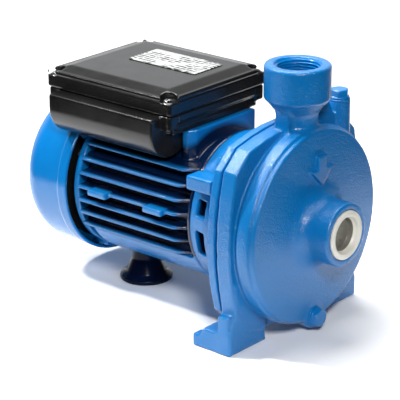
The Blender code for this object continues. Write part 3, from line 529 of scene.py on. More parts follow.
CAST_BLUE = blue_enamel("cast_blue_enamel", 1.15)
SMOOTH_BLUE = blue_enamel("sheet_blue_enamel", 0.22)
# Painted shade: the housing's paint darkens towards the shaft, at the fin roots and in the gaps between fins.
FINNED_BLUE = blue_enamel("finned_blue_enamel", 0.6, (0.0570, 0.0617), 0.055)
# Painted shade: the bracket's paint darkens where it lies close to the shaft, in its windows and cavity.
LANTERN_BLUE = blue_enamel("lantern_blue_enamel", 1.15, (0.0545, 0.0574))
BLACK = black_moulding("black_moulding", (0.006, 0.006, 0.006), 0.20)
NAVY = black_moulding("navy_moulding", (0.001, 0.003, 0.014), 0.16, 0.12)
ZINC = metal("zinc_plated_steel", (0.50, 0.52, 0.54), (0.72, 0.73, 0.74), 0.22)
DULL_ZINC = metal("dull_zinc_screws", (0.14, 0.145, 0.15), (0.24, 0.245, 0.25), 0.22)
CREAM = plain("cream_moulding", (0.66, 0.65, 0.58), (0.76, 0.75, 0.69), 0.34, Subsurface_Weight=0.15,
              Subsurface_Scale=0.002)
# Painted shade: a dark grey-brown for the cup's deep floor, standing in for the darkness behind it.
SHADED_CUP_FLOOR = plain("cup_floor_painted_shade", (0.13, 0.125, 0.105), (0.21, 0.20, 0.17), 0.25, Transmission_Weight=0.0)
RUBBER = plain("rubber", (0.010, 0.010, 0.011), (0.022, 0.022, 0.023), 0.65, 0.3)
MATERIALS = {
    "blue_paint": CAST_BLUE,
    "black_plastic": BLACK,
    "navy_plastic": NAVY,
    "white_plastic": CREAM,
    "grey_plastic": plain("grey_moulding", (0.25, 0.25, 0.25), (0.33, 0.33, 0.32), 0.4),
    "rubber": RUBBER,
    "label": label_film("label_film"),
    "zinc_steel": ZINC,
    "bearing_steel": metal("ground_steel", (0.60, 0.61, 0.62), (0.74, 0.75, 0.76), 0.10, (1, 8, 1)),
    "lamination": laminated("laminated_steel"),
    "copper": wound("varnished_windings"),
    "brass": metal("cast_brass", (0.58, 0.38, 0.13), (0.78, 0.56, 0.24), 0.28),
    "carbon": plain("graphite", (0.020, 0.020, 0.022), (0.040, 0.040, 0.043), 0.35, 0.05),
    "ceramic": plain("ceramic", (0.78, 0.76, 0.70), (0.86, 0.84, 0.79), 0.18, 0.03),
}


def dress_frame():
    """Give every CAD node its procedural material."""
    for name, node in frame["nodes"].items():
        node.data.materials.clear()
        node.data.materials.append(MATERIALS[SLOTS[name]])


# ---------------------------------------------------------------- outlines that pieces share
def bulged_octagon(half_width, half_height, side, top, corner, steps=6):
    """A flange with slightly arched sides and four cut, softened corners."""
    spread = [2 * i / steps - 1 for i in range(steps + 1)]
    right = [(side[0] + (half_width - side[0]) * (1 - t * t), side[1] * t) for t in spread]
    upper = [(-top[0] * t, top[1] + (half_height - top[1]) * (1 - t * t)) for t in spread]
    half = right + upper
    points = half + [(-x, -z) for x, z in half]
    ends = {0, steps, steps + 1, 2 * steps + 1}
    return rounded([(x, z, corner if i % len(half) in ends else 0) for i, (x, z) in enumerate(points)], 3)


BODY_FLANGE = bulged_octagon(78.2, 76.0, (70.6, 54.8), (56.0, 68.4), 0.8)
BRACKET_FLANGE = bulged_octagon(74.1, 75.6, (64.4, 52.0), (50.4, 66.2), 0.8)
RIM_HALF_WIDTH, RIM_HALF_HEIGHT = 77.4, 75.4
RIM_FLANGE = bulged_octagon(RIM_HALF_WIDTH, RIM_HALF_HEIGHT, (69.2, 53.6), (54.0, 67.6), 0.8)
RIM_FRONT, RIM_REAR = 60.7, 67.2
RIM_GAP = 3.0
RIM_STEP = 4.6                  # from the bracket flange's outline in to the step
BOLT_PLACES = [(middle(f"bracket_bolt_{n}")[0], middle(f"bracket_bolt_{n}")[2]) for n in (1, 2, 3, 4)]
BOLT_SEAT = span("bracket_bolt_1")[1][1] - 4.7
ROD_PLACES = [(middle(f"tie_rod_{n}")[0], middle(f"tie_rod_{n}")[2]) for n in (1, 2, 3, 4)]


def hex_outline(across_flats, turn):
    return arc((0, 0), across_flats / 2 / cos(pi / 6), turn, turn + 300, 5)


# ---------------------------------------------------------------- pump body
FLANGE_FRONT = 45.4
BOSS = 24.0
PORT = 24.6
PORT_BOTTOM = 178.4
DISC = 73.0
BODY_PROFILE = rounded([
    (AXIS_SIDE, 0, 0), (BOSS, 0, 1.5), (BOSS + 0.3, 24.6, 15), (46, 26.2, 4), (DISC, 27.7, 0.5),
    (DISC + 1.0, 31.2, 0.3), (DISC + 2.4, 31.7, 0.4), (DISC + 3.0, 35.2, 0.8), (DISC + 3.2, 41.5, 3.5),
    (DISC - 1.0, 45.6, 1), (DISC - 1.0, 50, 0), (AXIS_SIDE, 50, 0)], 6)
CHAMBER_PROFILE = rounded([
    (AXIS_SIDE, 31, 0), (62, 31, 2), (62, 75, 0), (AXIS_SIDE, 75, 0)], 3)
PORT_PROFILE = rounded([
    (AXIS_SIDE, 136, 0), (15.6, 136, 0), (15.6, 169, 9), (PORT - 2.2, 177.4, 2.5),
    (PORT, PORT_BOTTOM + 1.4, 1.2), (PORT, PORT_TOP, 2.4), (AXIS_SIDE, PORT_TOP, 0)], 5)
PORT_BORE = rounded([
    (AXIS_SIDE, 130, 0), (12.2, 130, 0), (12.2, 181, 1), (16.9, 183.6, 1), (16.9, PORT_TOP - 1.4, 0.4),
    (18.6, PORT_TOP + 1.5, 0), (AXIS_SIDE, PORT_TOP + 1.5, 0)], 3)
SUCTION_BORE = rounded([
    (AXIS_SIDE, -4, 0), (18.9, -4, 0), (18.9, 11, 0.6), (15, 11, 0.4), (15, 40, 0), (AXIS_SIDE, 40, 0)], 3)
ARROW = [(-3.4, 55.5), (-3.4, 45.5), (-11.5, 45.5), (1.75, 32), (15, 45.5), (6.9, 45.5), (6.9, 55.5)]
WEB = rounded([(0, 132, 0), (50, 126, 0), (45, 153, 4), (29, 180, 1), (0, 182, 0)], 4)
PRIMING_DRAFT = 0.012           # how fast the priming boss widens downwards


def foot_field(p, side):
    """One foot: a web under the flange and a plate behind with an open slot for the anchor."""
    x, y, z = p[:, 0] * side, p[:, 1], p[:, 2]
    web_outline = rounded([(35, 0, 0.8), (77, 0, 0.8), (77, 16, 3), (69.8, 31.5, 5), (71.5, 55, 0),
                           (28, 55, 0), (38, 26, 14)], 6)
    web = slab(outline_field(x, z, web_outline), y, FLANGE_FRONT, RIM_FRONT - RIM_GAP, 1.4)
    front, corner = FLANGE_FRONT + 2, RIM_FRONT - RIM_GAP - 0.2
    plate_outline = rounded([(front, 0, 0), (81, 0, 0.8), (81, 9.8, 1.4), (74, 9.8, 3), (71.5, 16, 1.2),
                             (corner, 16, 1), (corner, 30, 2), (front, 30, 0)], 4)
    plate = slab(outline_field(y, z, plate_outline), x, 48, 77, 1.4)
    foot = union(1.5, web, plate)
    slot = np.where(y < 72, np.hypot(x - 62.5, y - 72), np.abs(x - 62.5)) - 5
    return less(1.2, foot, slot)


def pump_body_field(p):
    x, y, z = p.T
    up = z - SHAFT_Z
    radial, around_port = np.hypot(x, up), np.hypot(x, y - PORT_Y)
    around_priming, around_drain = np.hypot(x - PRIMING_X, y - PORT_Y), np.hypot(x, z - DRAIN_Z)
    shell = outline_field(radial, y, BODY_PROFILE)
    flange = slab(outline_field(x, up, BODY_FLANGE), y, FLANGE_FRONT, RIM_FRONT - RIM_GAP, 0.7)
    step = slab(outline_field(x, up, BRACKET_FLANGE) + RIM_STEP, y, FLANGE_FRONT, FLANGE_REAR, 0.4)
    port = outline_field(around_port, z, PORT_PROFILE)
    rib = box_field(p, (-19.6, 39.4, 136), (-10, 51.6, 184), 0.8)
    web = slab(outline_field(x, z, WEB), y, 44.6, 51.2, 0.8)
    draft = (PRIMING_TOP - z) * PRIMING_DRAFT
    priming = rod_field(around_priming - draft, z, 8.3, 116, PRIMING_TOP, 0.9)
    drain = rod_field(around_drain, y, 9.7, DRAIN_FRONT, 54, 0.9)
    arrow = slab(outline_field(x, up, ARROW), y, 23.2, 30, 0.4)
    casting = union(2.4, shell, union(0.3, flange, step))
    casting = union(3.0, casting, foot_field(p, -1), foot_field(p, 1), drain)
    neck = union(2.5, union(4.5, port, web), rib)
    casting = union(3.2, casting, neck)
    casting = union(1.5, casting, priming)
    casting = union(0.3, casting, arrow)
    chamber = outline_field(radial, y, CHAMBER_PROFILE)
    suction = outline_field(radial, y, SUCTION_BORE)
    mouth = outline_field(around_port, z, PORT_BORE)
    priming_hole = rod_field(around_priming, z, 5.2, 104, PRIMING_TOP + 4, 0.2)
    drain_hole = rod_field(around_drain, y, 4.2, DRAIN_FRONT - 4, 38, 0.2)
    bolts = nearest(x, z, BOLT_PLACES) - 3.3
    bolts = common(0.3, bolts, 51 - y)
    casting = less(0.8, casting, chamber, suction, mouth, priming_hole, drain_hole, bolts)
    return common(0.6, casting, -z)


def discharge_thread():
    """A sleeve in the port whose inside is a parallel pipe thread."""
    pitch, crest, root, outside = 2.309, 15.15, 16.65, 17.2
    low, high = 183.8, PORT_TOP - 1.3
    around, steps = 144, int(120 / COARSEN)
    heights = [low + (high - low) * i / steps for i in range(steps + 1)]
    points, faces = [], []
    for z in heights:
        lead_in = min(1.0, (high - z) / 1.6)
        for j in range(around):
            phase = (z / pitch + j / around) % 1.0
            ridge = 0.5 + 0.5 * np.clip(1.25 * cos(tau * phase), -1, 1)
            radius = root - (root - crest) * ridge * lead_in
            points.append((radius * cos(tau * j / around), PORT_Y + radius * sin(tau * j / around), z))
    for z in (high, low):
        points += [(outside * cos(tau * j / around), PORT_Y + outside * sin(tau * j / around), z)
                   for j in range(around)]
    rings = [range(i * around, (i + 1) * around) for i in range(steps + 3)]
    for ring, after in zip(rings, rings[1:] + rings[:1]):
        for j in range(around):
            k = (j + 1) % around
            faces.append((ring[j], ring[k], after[k], after[j]))
    outward(piece("discharge_thread", points, faces, SMOOTH_BLUE))


def pump_body():
    low, high = (BODY_LOW[0], 0, 0), (BODY_HIGH[0], 81, PORT_TOP)
    carved("pump_casting", pump_body_field, low, high, 1.12, CAST_BLUE, stands_for=["pump_body"])
    discharge_thread()


def suction_plug():
    """A push-in cup: a cream rim and step, and deep inside a floor painted dark grey-brown as painted shade
    for the darkness behind the translucent floor.
    """
    low, high = span("suction_plug")
    front, rear, radius = low[1], high[1], high[0]
    inside = [(0, 7.2, 0), (12.0, 7.2, 0.8), (12.6, 3.0, 0.6), (13.6, 1.4, 0.4), (14.0, front + 0.6, 0.5),
              (14.6, front, 0.4)]
    outside = [(radius - 0.5, front, 0.5), (radius, front + 0.5, 0.3), (radius, rear, 0.4), (0, rear, 0)]
    cup = turned("suction_plug_cup", (0, 0, SHAFT_Z), "Y", rounded(inside + outside, 3), CREAM,
                 "suction_plug", ["suction_plug"])
    # The deep floor's faces take the painted shade.
    cup.data.materials.append(SHADED_CUP_FLOOR)
    for face in cup.data.polygons:
        centre = (Vector(face.center) - Vector(to_frame((0, 0, SHAFT_Z)))) / MM
        if centre.y > 3.6 and np.hypot(centre.x, centre.z) < 12.7 and face.normal.y < 0.5:
            face.material_index = 1


def hexagon_plug_field(radial, a, b, out, stem, seat, head):
    """A plug along its way out: a stem, a round flange and a hexagon with a chamfered crown."""
    across = outline_field(a, b, hex_outline(13.0, 30))
    hexagon = common(0.9, across, -out + seat + 1, out - head)
    crown = radial - 7.3 + (out - (head - 1.1)) * 0.9
    return union(0.5, common(0.7, hexagon, crown), rod_field(radial, out, 7.7, seat, seat + 1.5, 0.5),
                 rod_field(radial, out, stem, seat - 12, seat + 1, 0.4))


def plugs():
    low, high = span("priming_plug")
    washer_low, washer_high = span("priming_plug_washer")
    seat = washer_high[2] + 0.1

    def priming_field(p):
        a, b = p[:, 0] - PRIMING_X, p[:, 1] - PORT_Y
        return hexagon_plug_field(np.hypot(a, b), a, b, p[:, 2], 4.4, seat, high[2])

    carved("priming_plug_hexagon", priming_field, low, high, 0.4, SMOOTH_BLUE, "priming_plug",
           ["priming_plug"])
    ring = rounded([(5.0, washer_low[2] - 0.2, 0.2), (8.3, washer_low[2] - 0.2, 0.4),
                    (8.3, washer_high[2], 0.4), (5.0, washer_high[2], 0.2)], 3)
    turned("priming_plug_ring", (PRIMING_X, PORT_Y, 0), "Z", ring, SMOOTH_BLUE, "priming_washer",
           ["priming_plug_washer"], 64)
    low, high = span("drain_plug")
    washer_low, washer_high = span("drain_plug_washer")
    seat = washer_low[1] - 0.1

    def drain_field(p):
        a, b = p[:, 0], p[:, 2] - DRAIN_Z
        return hexagon_plug_field(np.hypot(a, b), a, b, -p[:, 1], 3.5, -seat, -low[1])

    carved("drain_plug_hexagon", drain_field, low, high, 0.4, SMOOTH_BLUE, "drain_plug", ["drain_plug"])
    ring = rounded([(4.3, washer_low[1], 0.2), (8.3, washer_low[1], 0.4), (8.3, washer_high[1] + 0.2, 0.4),
                    (4.3, washer_high[1] + 0.2, 0.2)], 3)
    turned("drain_plug_ring", (0, 0, DRAIN_Z), "Y", ring, SMOOTH_BLUE, "drain_washer",
           ["drain_plug_washer"], 64)


# ---------------------------------------------------------------- bracket
BELL_PROFILE = rounded([
    (AXIS_SIDE, BRACKET_FRONT, 0), (66, BRACKET_FRONT, 0), (66, 70, 0), (62, 75, 2), (61.4, 86, 6),
    (58.6, 97, 6), (57.6, 100.1, 0.8), (22, 100.1, 1), (22, 109.5, 0.8), (AXIS_SIDE, 109.5, 0)], 5)
CAVITY_PROFILE = rounded([
    (AXIS_SIDE, 60, 0), (65.3, 60, 0), (65.3, 67.9, 0.5), (42, 67.9, 0.8), (42, 72, 0.8), (54, 72, 1),
    (54, 90, 2), (51, 94, 1), (AXIS_SIDE, 94, 0)], 3)
BEARING_PROFILE = [(AXIS_SIDE, 92), (12, 92), (12, 97.7), (17.8, 97.7), (17.8, 115), (AXIS_SIDE, 115)]


def bracket_field(p):
    x, y, z = p.T
    up, side = z - SHAFT_Z, np.abs(x)
    radial = np.hypot(x, up)
    outline = outline_field(x, up, BRACKET_FLANGE)
    rim = slab(outline_field(x, up, RIM_FLANGE), y, RIM_FRONT, RIM_REAR, 0.7)
    rim = less(0.4, rim, common(0.3, outline + RIM_STEP - 0.5, y - BRACKET_FRONT))
    rim = less(0.4, rim, common(0.3, 45 - side, z - 17.4))
    to_bolt = nearest(x, z, BOLT_PLACES)
    bosses = slab(to_bolt - 8.0, y, BRACKET_FRONT, BOLT_SEAT, 0.8)
    flange = union(1.0, slab(outline + 3.0, y, BRACKET_FRONT, RIM_REAR, 0.5), rim, bosses)
    shell = union(3.5, flange, outline_field(radial, y, BELL_PROFILE))
    mirrored = np.stack([side, y, z], 1)
    lug = box_field(mirrored, (50, 73, 115), (66, 97, 126), 1.6)
    shell = union(2.0, shell, lug)
    cavity = outline_field(radial, y, CAVITY_PROFILE)
    bore = outline_field(radial, y, BEARING_PROFILE)
    upper = box_field(mirrored, (42, 84, 93), (75, 93.5, 105.5), 1.2)
    lower = box_field(mirrored, (42, 84, 63), (75, 93.5, 82), 1.2)
    drip = box_field(p, (-13, 80, 12), (13, 92, 40), 1.5)
    seats = common(0.4, to_bolt - 6.6, BOLT_SEAT - y, y - 80)
    holes = common(0.3, to_bolt - 3.4, y - 80)
    rods = common(0.3, nearest(x, z, ROD_PLACES) - 2.4, 92 - y)
    return less(1.0, shell, cavity, bore, upper, lower, drip, seats, holes, rods)


def gasket():
    """A thin black sheet, set back from the flanges' edges so that a dark line shows between them."""
    def gasket_field(p):
        x, y, up = p[:, 0], p[:, 1], p[:, 2] - SHAFT_Z
        sheet = slab(outline_field(x, up, BRACKET_FLANGE) + RIM_STEP + 0.5, y, GASKET_FRONT, GASKET_REAR, 0.2)
        return less(0.2, sheet, np.hypot(x, up) - 63.0)

    carved("flange_gasket", gasket_field, *span("body_gasket"), 0.4, RUBBER, stands_for=["body_gasket"])


def bracket():
    high = span("bracket")[1]
    rim_low = (-RIM_HALF_WIDTH, RIM_FRONT, SHAFT_Z - RIM_HALF_HEIGHT)
    rim_high = (RIM_HALF_WIDTH, high[1], SHAFT_Z + RIM_HALF_HEIGHT)
    carved("bracket_casting", bracket_field, rim_low, rim_high, 0.97, LANTERN_BLUE, stands_for=["bracket"])


def bracket_bolts():
    """Hexagon heads with a washer face and a chamfered crown."""
    for number, (bx, bz) in enumerate(BOLT_PLACES, 1):
        low, high = span(f"bracket_bolt_{number}")
        head = high[1] - 4.4

        def bolt_field(p):
            a, b, y = p[:, 0] - bx, p[:, 2] - bz, p[:, 1]
            radial = np.hypot(a, b)
            across = common(0.5, outline_field(a, b, hex_outline(10.0, 0)), head + 0.5 - y, y - high[1])
            crown = radial - 5.6 + (y - high[1] + 0.8) * 1.2
            return union(0.3, common(0.4, across, crown), rod_field(radial, y, 4.7, head, head + 0.8, 0.2),
                         rod_field(radial, y, 3.0, low[1], head + 1, 0.3))

        carved(f"bracket_bolt_head_{number}", bolt_field, low, high, 0.4, SMOOTH_BLUE,
               stands_for=[f"bracket_bolt_{number}"])


# ---------------------------------------------------------------- motor
FIN_PITCH = 10.5
FIN_HALF = 1.15
FIN_TIP = 61.0
FIN_ROOT = 48.0
FIN_REAR = HOUSING_HIGH[1] - 0.8
FIN_STEPS = (-2.5, -1.5, -0.5, 0.5, 1.5, 2.5, 3.5)      # heights above the shaft, in pitches
BARREL = 49.0
HOUSING_PROFILE = rounded([
    (AXIS_SIDE, HOUSING_LOW[1], 0), (57.0, HOUSING_LOW[1], 0.9), (57.2, 103.5, 1.2), (BARREL, 107, 3),
    (BARREL, HOUSING_HIGH[1], 0.8), (AXIS_SIDE, HOUSING_HIGH[1], 0)], 4)
PEDESTAL = rounded([(-33, 123, 1), (-28, 118, 2), (42, 118, 2), (42, 205, 2), (-19, 205, 2), (-19, 128.5, 2),
                    (-33, 128.5, 1)], 3)
BELLY = arc((0, 0), 58.0, -149, -31, 16)


def fins_field(side, y, up):
    """Seven fins each side with a rounded tip, slanted back at the front."""
    field = np.full(y.shape, 99.0)
    for step in FIN_STEPS:
        height = step * FIN_PITCH
        reach = (FIN_TIP ** 2 - height ** 2) ** 0.5
        root = (FIN_ROOT ** 2 - height ** 2) ** 0.5
        outline = rounded([(root, 103.6, 0), (reach - 8, 104.4, 2), (reach, 114, 7), (reach, FIN_REAR, 2),
                           (root, FIN_REAR, 0)], 5)
        flat = outline_field(side, y, outline)
        field = np.minimum(field, common(0.9, flat, np.abs(up - height) - FIN_HALF - 0.03 * (reach - side)))
    return field


def housing_field(p):
    x, y, z = p.T
    up, side = z - SHAFT_Z, np.abs(x)
    radial = np.hypot(x, up)
    barrel = outline_field(radial, y, HOUSING_PROFILE)
    belly = slab(outline_field(x, up, BELLY), y, 101.5, 206, 2.0)
    to_rod = nearest(x, z, ROD_PLACES)
    rod_ribs = slab(to_rod - 4.4, y, HOUSING_LOW[1], HOUSING_HIGH[1], 0.6)
    pedestal = slab(outline_field(x, y, PEDESTAL), z, 100, HOUSING_HIGH[2], 1.2)
    pad_z = SHAFT_Z + 0.5 * FIN_PITCH
    mirrored = np.stack([side, y, z], 1)
    pads = [box_field(mirrored, (50, start, pad_z - 2.5), (65.9, start + 18, pad_z + 2.5), 1.0)
            for start in (122, 178)]
    housing = union(2.5, union(2.0, barrel, belly, rod_ribs), pedestal)
    housing = union(0.9, housing, fins_field(side, y, up))
    housing = union(1.0, housing, *pads)
    wire_way = box_field(p, (2, 184, 120), (22, 200, 160), 2)
    foot_hole = common(0.3, np.hypot(x, y - 195) - 2.3, z - 60)
    return less(0.8, housing, radial - 46.5, wire_way, foot_hole, to_rod - 2.4)


def motor_housing():
    carved("housing_casting", housing_field, HOUSING_LOW, HOUSING_HIGH, 1.22, FINNED_BLUE,
           stands_for=["motor_housing"])


def end_shield_field(p):
    x, y, z = p.T
    up = z - SHAFT_Z
    radial = np.hypot(x, up)
    low, seat = SHIELD_LOW[1], 213.0
    plate = rod_field(radial, y, 57, seat, 218.5, 0.8)
    spigot = rod_field(radial, y, 46.2, 209.5, 215, 0.4)
    boss = rod_field(radial, y, 22, low, 215, 0.5)
    shield = union(1.0, plate, spigot, boss)
    for angle in COVER_SCREW_ANGLES:
        a, b = x * cos(angle) + up * sin(angle), up * cos(angle) - x * sin(angle)
        turned_point = np.stack([a, y, b], 1)
        shield = union(1.2, shield, box_field(turned_point, (48, seat, -5.5), (60, 229, 5.5), 1.0))
    bore = np.minimum(common(0.3, radial - 17.8, y - 211.3), radial - 9)
    rods = nearest(x, z, ROD_PLACES) - 2.4
    return less(0.5, shield, bore, rods)


COVER_SCREWS = [middle(f"fan_cover_screw_{n}") for n in (1, 2, 3)]
COVER_SCREW_ANGLES = [float(np.arctan2(place[2] - SHAFT_Z, place[0])) for place in COVER_SCREWS]
COVER_SCREW_Y = float(COVER_SCREWS[0][1])
COVER_RADIUS = 63.3
COVER_WALL = 2.4


def cover_profile(inset):
    """The pressed cap's section: rim, collar step, straight wall and large rounding."""
    radius, rear = COVER_RADIUS - inset, COVER_HIGH[1] - inset
    front = COVER_LOW[1] - (5 if inset else 0)
    return rounded([(AXIS_SIDE, front, 0), (radius + 0.7, front, 0.7), (radius + 0.7, 229, 0.8),
                    (radius, 230.2, 0.8), (radius, rear, 22 - inset), (AXIS_SIDE, rear, 0)], 12)


def fan_cover_field(p):
    x, y, z = p.T
    up = z - SHAFT_Z
    radial = np.hypot(x, up)
    outer, inner = (outline_field(radial, y, cover_profile(inset)) for inset in (0, COVER_WALL))
    shell = less(0.9, outer, inner)
    a, b = from_spoke(x, up, 12)
    slot = np.hypot(np.maximum(np.abs(a - 27.5) - 9.6, 0), b) - 3.0
    screws = np.full(x.shape, 99.0)
    for angle in COVER_SCREW_ANGLES:
        outward_of = x * cos(angle) + up * sin(angle)
        from_axis = np.hypot(up * cos(angle) - x * sin(angle), y - COVER_SCREW_Y)
        screws = np.minimum(screws, common(0.3, from_axis - 3.4, 62.4 - outward_of))
        screws = np.minimum(screws, common(0.3, from_axis - 2.0, 50 - outward_of))
    return less(0.7, shell, common(0.5, slot, 255 - y), screws)


def fan_field(p):
    """A hub and disc with eight straight blades, thicker at the root."""
    x, y, z = p.T
    up = z - SHAFT_Z
    radial = np.hypot(x, up)
    disc = rod_field(radial, y, 56, 231.5, 233.1, 0.5)
    hub = rod_field(radial, y, 12.6, 231.5, 246, 0.8)
    a, b = from_spoke(x, up, 8, radians(12))
    blade = common(0.6, np.abs(b) - 0.9, 11 - a, a - 55, 232 - y, y - 249)
    return less(0.3, union(1.0, disc, hub, blade), radial - 7.5)


def drive_end():
    carved("end_shield", end_shield_field, SHIELD_LOW, SHIELD_HIGH, 0.9, CAST_BLUE,
           stands_for=["rear_end_shield"])
    carved("fan_cover_shell", fan_cover_field, COVER_LOW, COVER_HIGH, 0.88, SMOOTH_BLUE,
           stands_for=["fan_cover"])
    carved("cooling_fan", fan_field, *span("fan"), 0.75, BLACK, "rotor", ["fan"])


def motor_foot():
    """A hollow flared foot that stands under the motor."""
    radius, top = FOOT_PAD_HIGH[0], FOOT_PAD_HIGH[2]
    centre = middle("motor_foot")
    inside = [(17, 0, 0.5), (13.5, 3.5, 2), (6, 6, 1), (6, 9, 0.4), (2.4, 9, 0.2), (2.4, top, 0.2)]
    outside = [(11.0, top, 0.4), (11.4, 17.5, 8), (16.4, 6.0, 4), (radius, 3.0, 1.2), (radius, 0, 0.6)]
    turned("motor_foot_flare", (centre[0], centre[1], 0), "Z", rounded(inside + outside, 6), NAVY,
           stands_for=["motor_foot"], segments=96)


# ---------------------------------------------------------------- terminal box
BOX_HALF = LID_HIGH[0]
BOX_FRONT, BOX_REAR = LID_LOW[1], LID_HIGH[1]
LID_SCREWS = [tuple(middle(f"lid_screw_{n}")[:2]) for n in (1, 2, 3, 4)]
LID_EDGE = LID_HIGH[2] - 2.8
TRAY_TOP = TRAY_HIGH[2]
TRAY_BOTTOM = 149.5
LOBE_X, LOBE_Z, LOBE_RADIUS = -43.5, 149.5, 23.0
LOBE_FRONT, LOBE_REAR = 129.5, 234.0
GLAND = middle("gland_nut")


def rectangle_field(x, y, inset, corner):
    """Distance to the box's plan, moved in, with rounded corners."""
    half_x, half_y = BOX_HALF - inset - corner, (BOX_REAR - BOX_FRONT) / 2 - inset - corner
    a, b = np.abs(x) - half_x, np.abs(y - (BOX_FRONT + BOX_REAR) / 2) - half_y
    return np.hypot(np.maximum(a, 0), np.maximum(b, 0)) + np.minimum(np.maximum(a, b), 0) - corner


def lid_field(p):
    x, y, z = p.T
    plan = rectangle_field(x, y, 0, 3)
    wall = common(1.2, plan, LID_LOW[2] - z, z - LID_EDGE)
    groove = common(0.4, np.abs(z - (LID_EDGE - 3.4)) - 0.45, -plan - 0.7)
    wall = less(0.4, wall, groove)
    slope = (LID_HIGH[2] - LID_EDGE + 0.6) / 13.5
    crown = (z - (LID_EDGE - 0.6) + slope * plan) / np.hypot(1, slope)
    roof = common(0.35, rectangle_field(x, y, 0.5, 3), crown, z - LID_HIGH[2], LID_LOW[2] - z)
    lid = union(0.4, wall, roof)
    screws = nearest(x, y, LID_SCREWS)
    lid = less(0.8, lid, common(0.4, screws - 6.4, 171.5 - z))
    ears = common(1.0, screws - 5.4, LID_LOW[2] - z, z - 172.3)
    lid = union(0.5, lid, ears)
    room = common(1.5, rectangle_field(x, y, 2.6, 2), z - 173.4, 8.2 - screws)
    return less(0.5, lid, room, screws - 2.1)


def tray_field(p):
    x, y, z = p.T
    lean = np.clip((TRAY_BOTTOM + 6 - z) / 6, 0, 1) * 4.0
    tray = common(1.4, rectangle_field(x, y, 1.5, 3) + lean, TRAY_BOTTOM - z, z - TRAY_TOP)
    foot = common(1.0, box_field(p, (-50, 122, TRAY_LOW[2] - 5), (48.7, 214, TRAY_BOTTOM + 4), 3), 146.3 - z)
    across, depth = np.abs(x - LOBE_X), LOBE_Z - z
    bowl = np.where(depth > 0, np.hypot(across, depth), across)
    lobe = common(2.2, bowl - LOBE_RADIUS, z - (TRAY_TOP - 0.7), LOBE_FRONT - y, y - LOBE_REAR)
    screws = nearest(x, y, LID_SCREWS)
    columns = common(1.0, screws - 7.0, rectangle_field(x, y, 0.9, 3), 150.5 - z, z - TRAY_TOP)
    tray = union(1.5, tray, foot, lobe, columns)
    room = common(1.0, rectangle_field(x, y, 4.5, 2), TRAY_BOTTOM + 1.2 - z, 8.6 - screws)
    capacitor_room = common(1.0, bowl - (LOBE_RADIUS - 2.2), z - (TRAY_TOP - 3.2),
                            LOBE_FRONT + 2.5 - y, y - 209)
    cover_room = common(0.8, np.hypot(x, z - SHAFT_Z) - 66.4, 212.5 - y)
    wire_way = box_field(p, (2, 184, 135), (22, 200, 158), 1.5)
    gland_hole = common(0.3, np.hypot(y - GLAND[1], z - GLAND[2]) - 4.2, 45 - x)
    return less(0.8, tray, room, capacitor_room, cover_room, wire_way, gland_hole, screws - 2.1)


def lid_screw_field(p, sx, sy, low, high):
    """A pan head with a straight slot and a plain shank."""
    a, b, z = p[:, 0] - sx, p[:, 1] - sy, p[:, 2]
    radial = np.hypot(a, b)
    dome = np.sqrt(a * a + b * b + (z - (high - 6.0)) ** 2) - 6.0
    head = common(0.5, rod_field(radial, z, 4.0, high - 2.5, high + 1, 0.3), dome)
    slot = common(0.2, np.abs(b) - 0.55, high - 0.9 - z)
    return less(0.2, union(0.3, head, rod_field(radial, z, 1.8, low, high - 2, 0.3)), slot)


def gland_field(p):
    x = p[:, 0]
    a, b = p[:, 1] - GLAND[1], p[:, 2] - GLAND[2]
    radial = np.hypot(a, b)
    low, high = span("cable_gland")
    wall = BOX_HALF - 1.0
    collar = common(0.8, outline_field(a, b, hex_outline(10.8, 30)), wall + 0.3 - x, x - (wall + 5))
    body = union(0.5, collar, rod_field(radial, x, 4.1, low[0], high[0], 0.3))
    return less(0.3, body, radial - 3.0)


def gland_nut_field(p):
    """A ribbed dome nut."""
    x = p[:, 0]
    a, b = p[:, 1] - GLAND[1], p[:, 2] - GLAND[2]
    radial, turn = np.hypot(a, b), np.arctan2(b, a)
    low, high = span("gland_nut")
    ribs = 0.28 * np.cos(turn * 12) * np.clip((high[0] - 3.5 - x) / 2, 0, 1)
    barrel = rod_field(radial - ribs, x, 5.4, low[0], high[0] - 3.0, 0.6)
    dome = np.sqrt(radial ** 2 + (x - (high[0] - 6.0)) ** 2) - 6.0
    nut = union(0.6, barrel, common(0.5, dome, radial - 5.3, x - high[0], low[0] + 3 - x))
    return less(0.4, nut, common(0.2, radial - 4.7, x - (high[0] - 6)), radial - 3.0)


def terminal_box():
    carved("box_lid", lid_field, LID_LOW, LID_HIGH, 0.75, BLACK, stands_for=["terminal_box_lid"])
    carved("box_tray", tray_field, TRAY_LOW, TRAY_HIGH, 0.85, BLACK, stands_for=["terminal_box_base"])
    for number, (sx, sy) in enumerate(LID_SCREWS, 1):
        low, high = span(f"lid_screw_{number}")
        carved(f"lid_screw_head_{number}", lambda p: lid_screw_field(p, sx, sy, low[2], high[2]),
               low, high, 0.35, DULL_ZINC, stands_for=[f"lid_screw_{number}"])
    carved("gland_body", gland_field, *span("cable_gland"), 0.4, BLACK, stands_for=["cable_gland"])
    carved("gland_cap", gland_nut_field, *span("gland_nut"), 0.35, BLACK, stands_for=["gland_nut"])


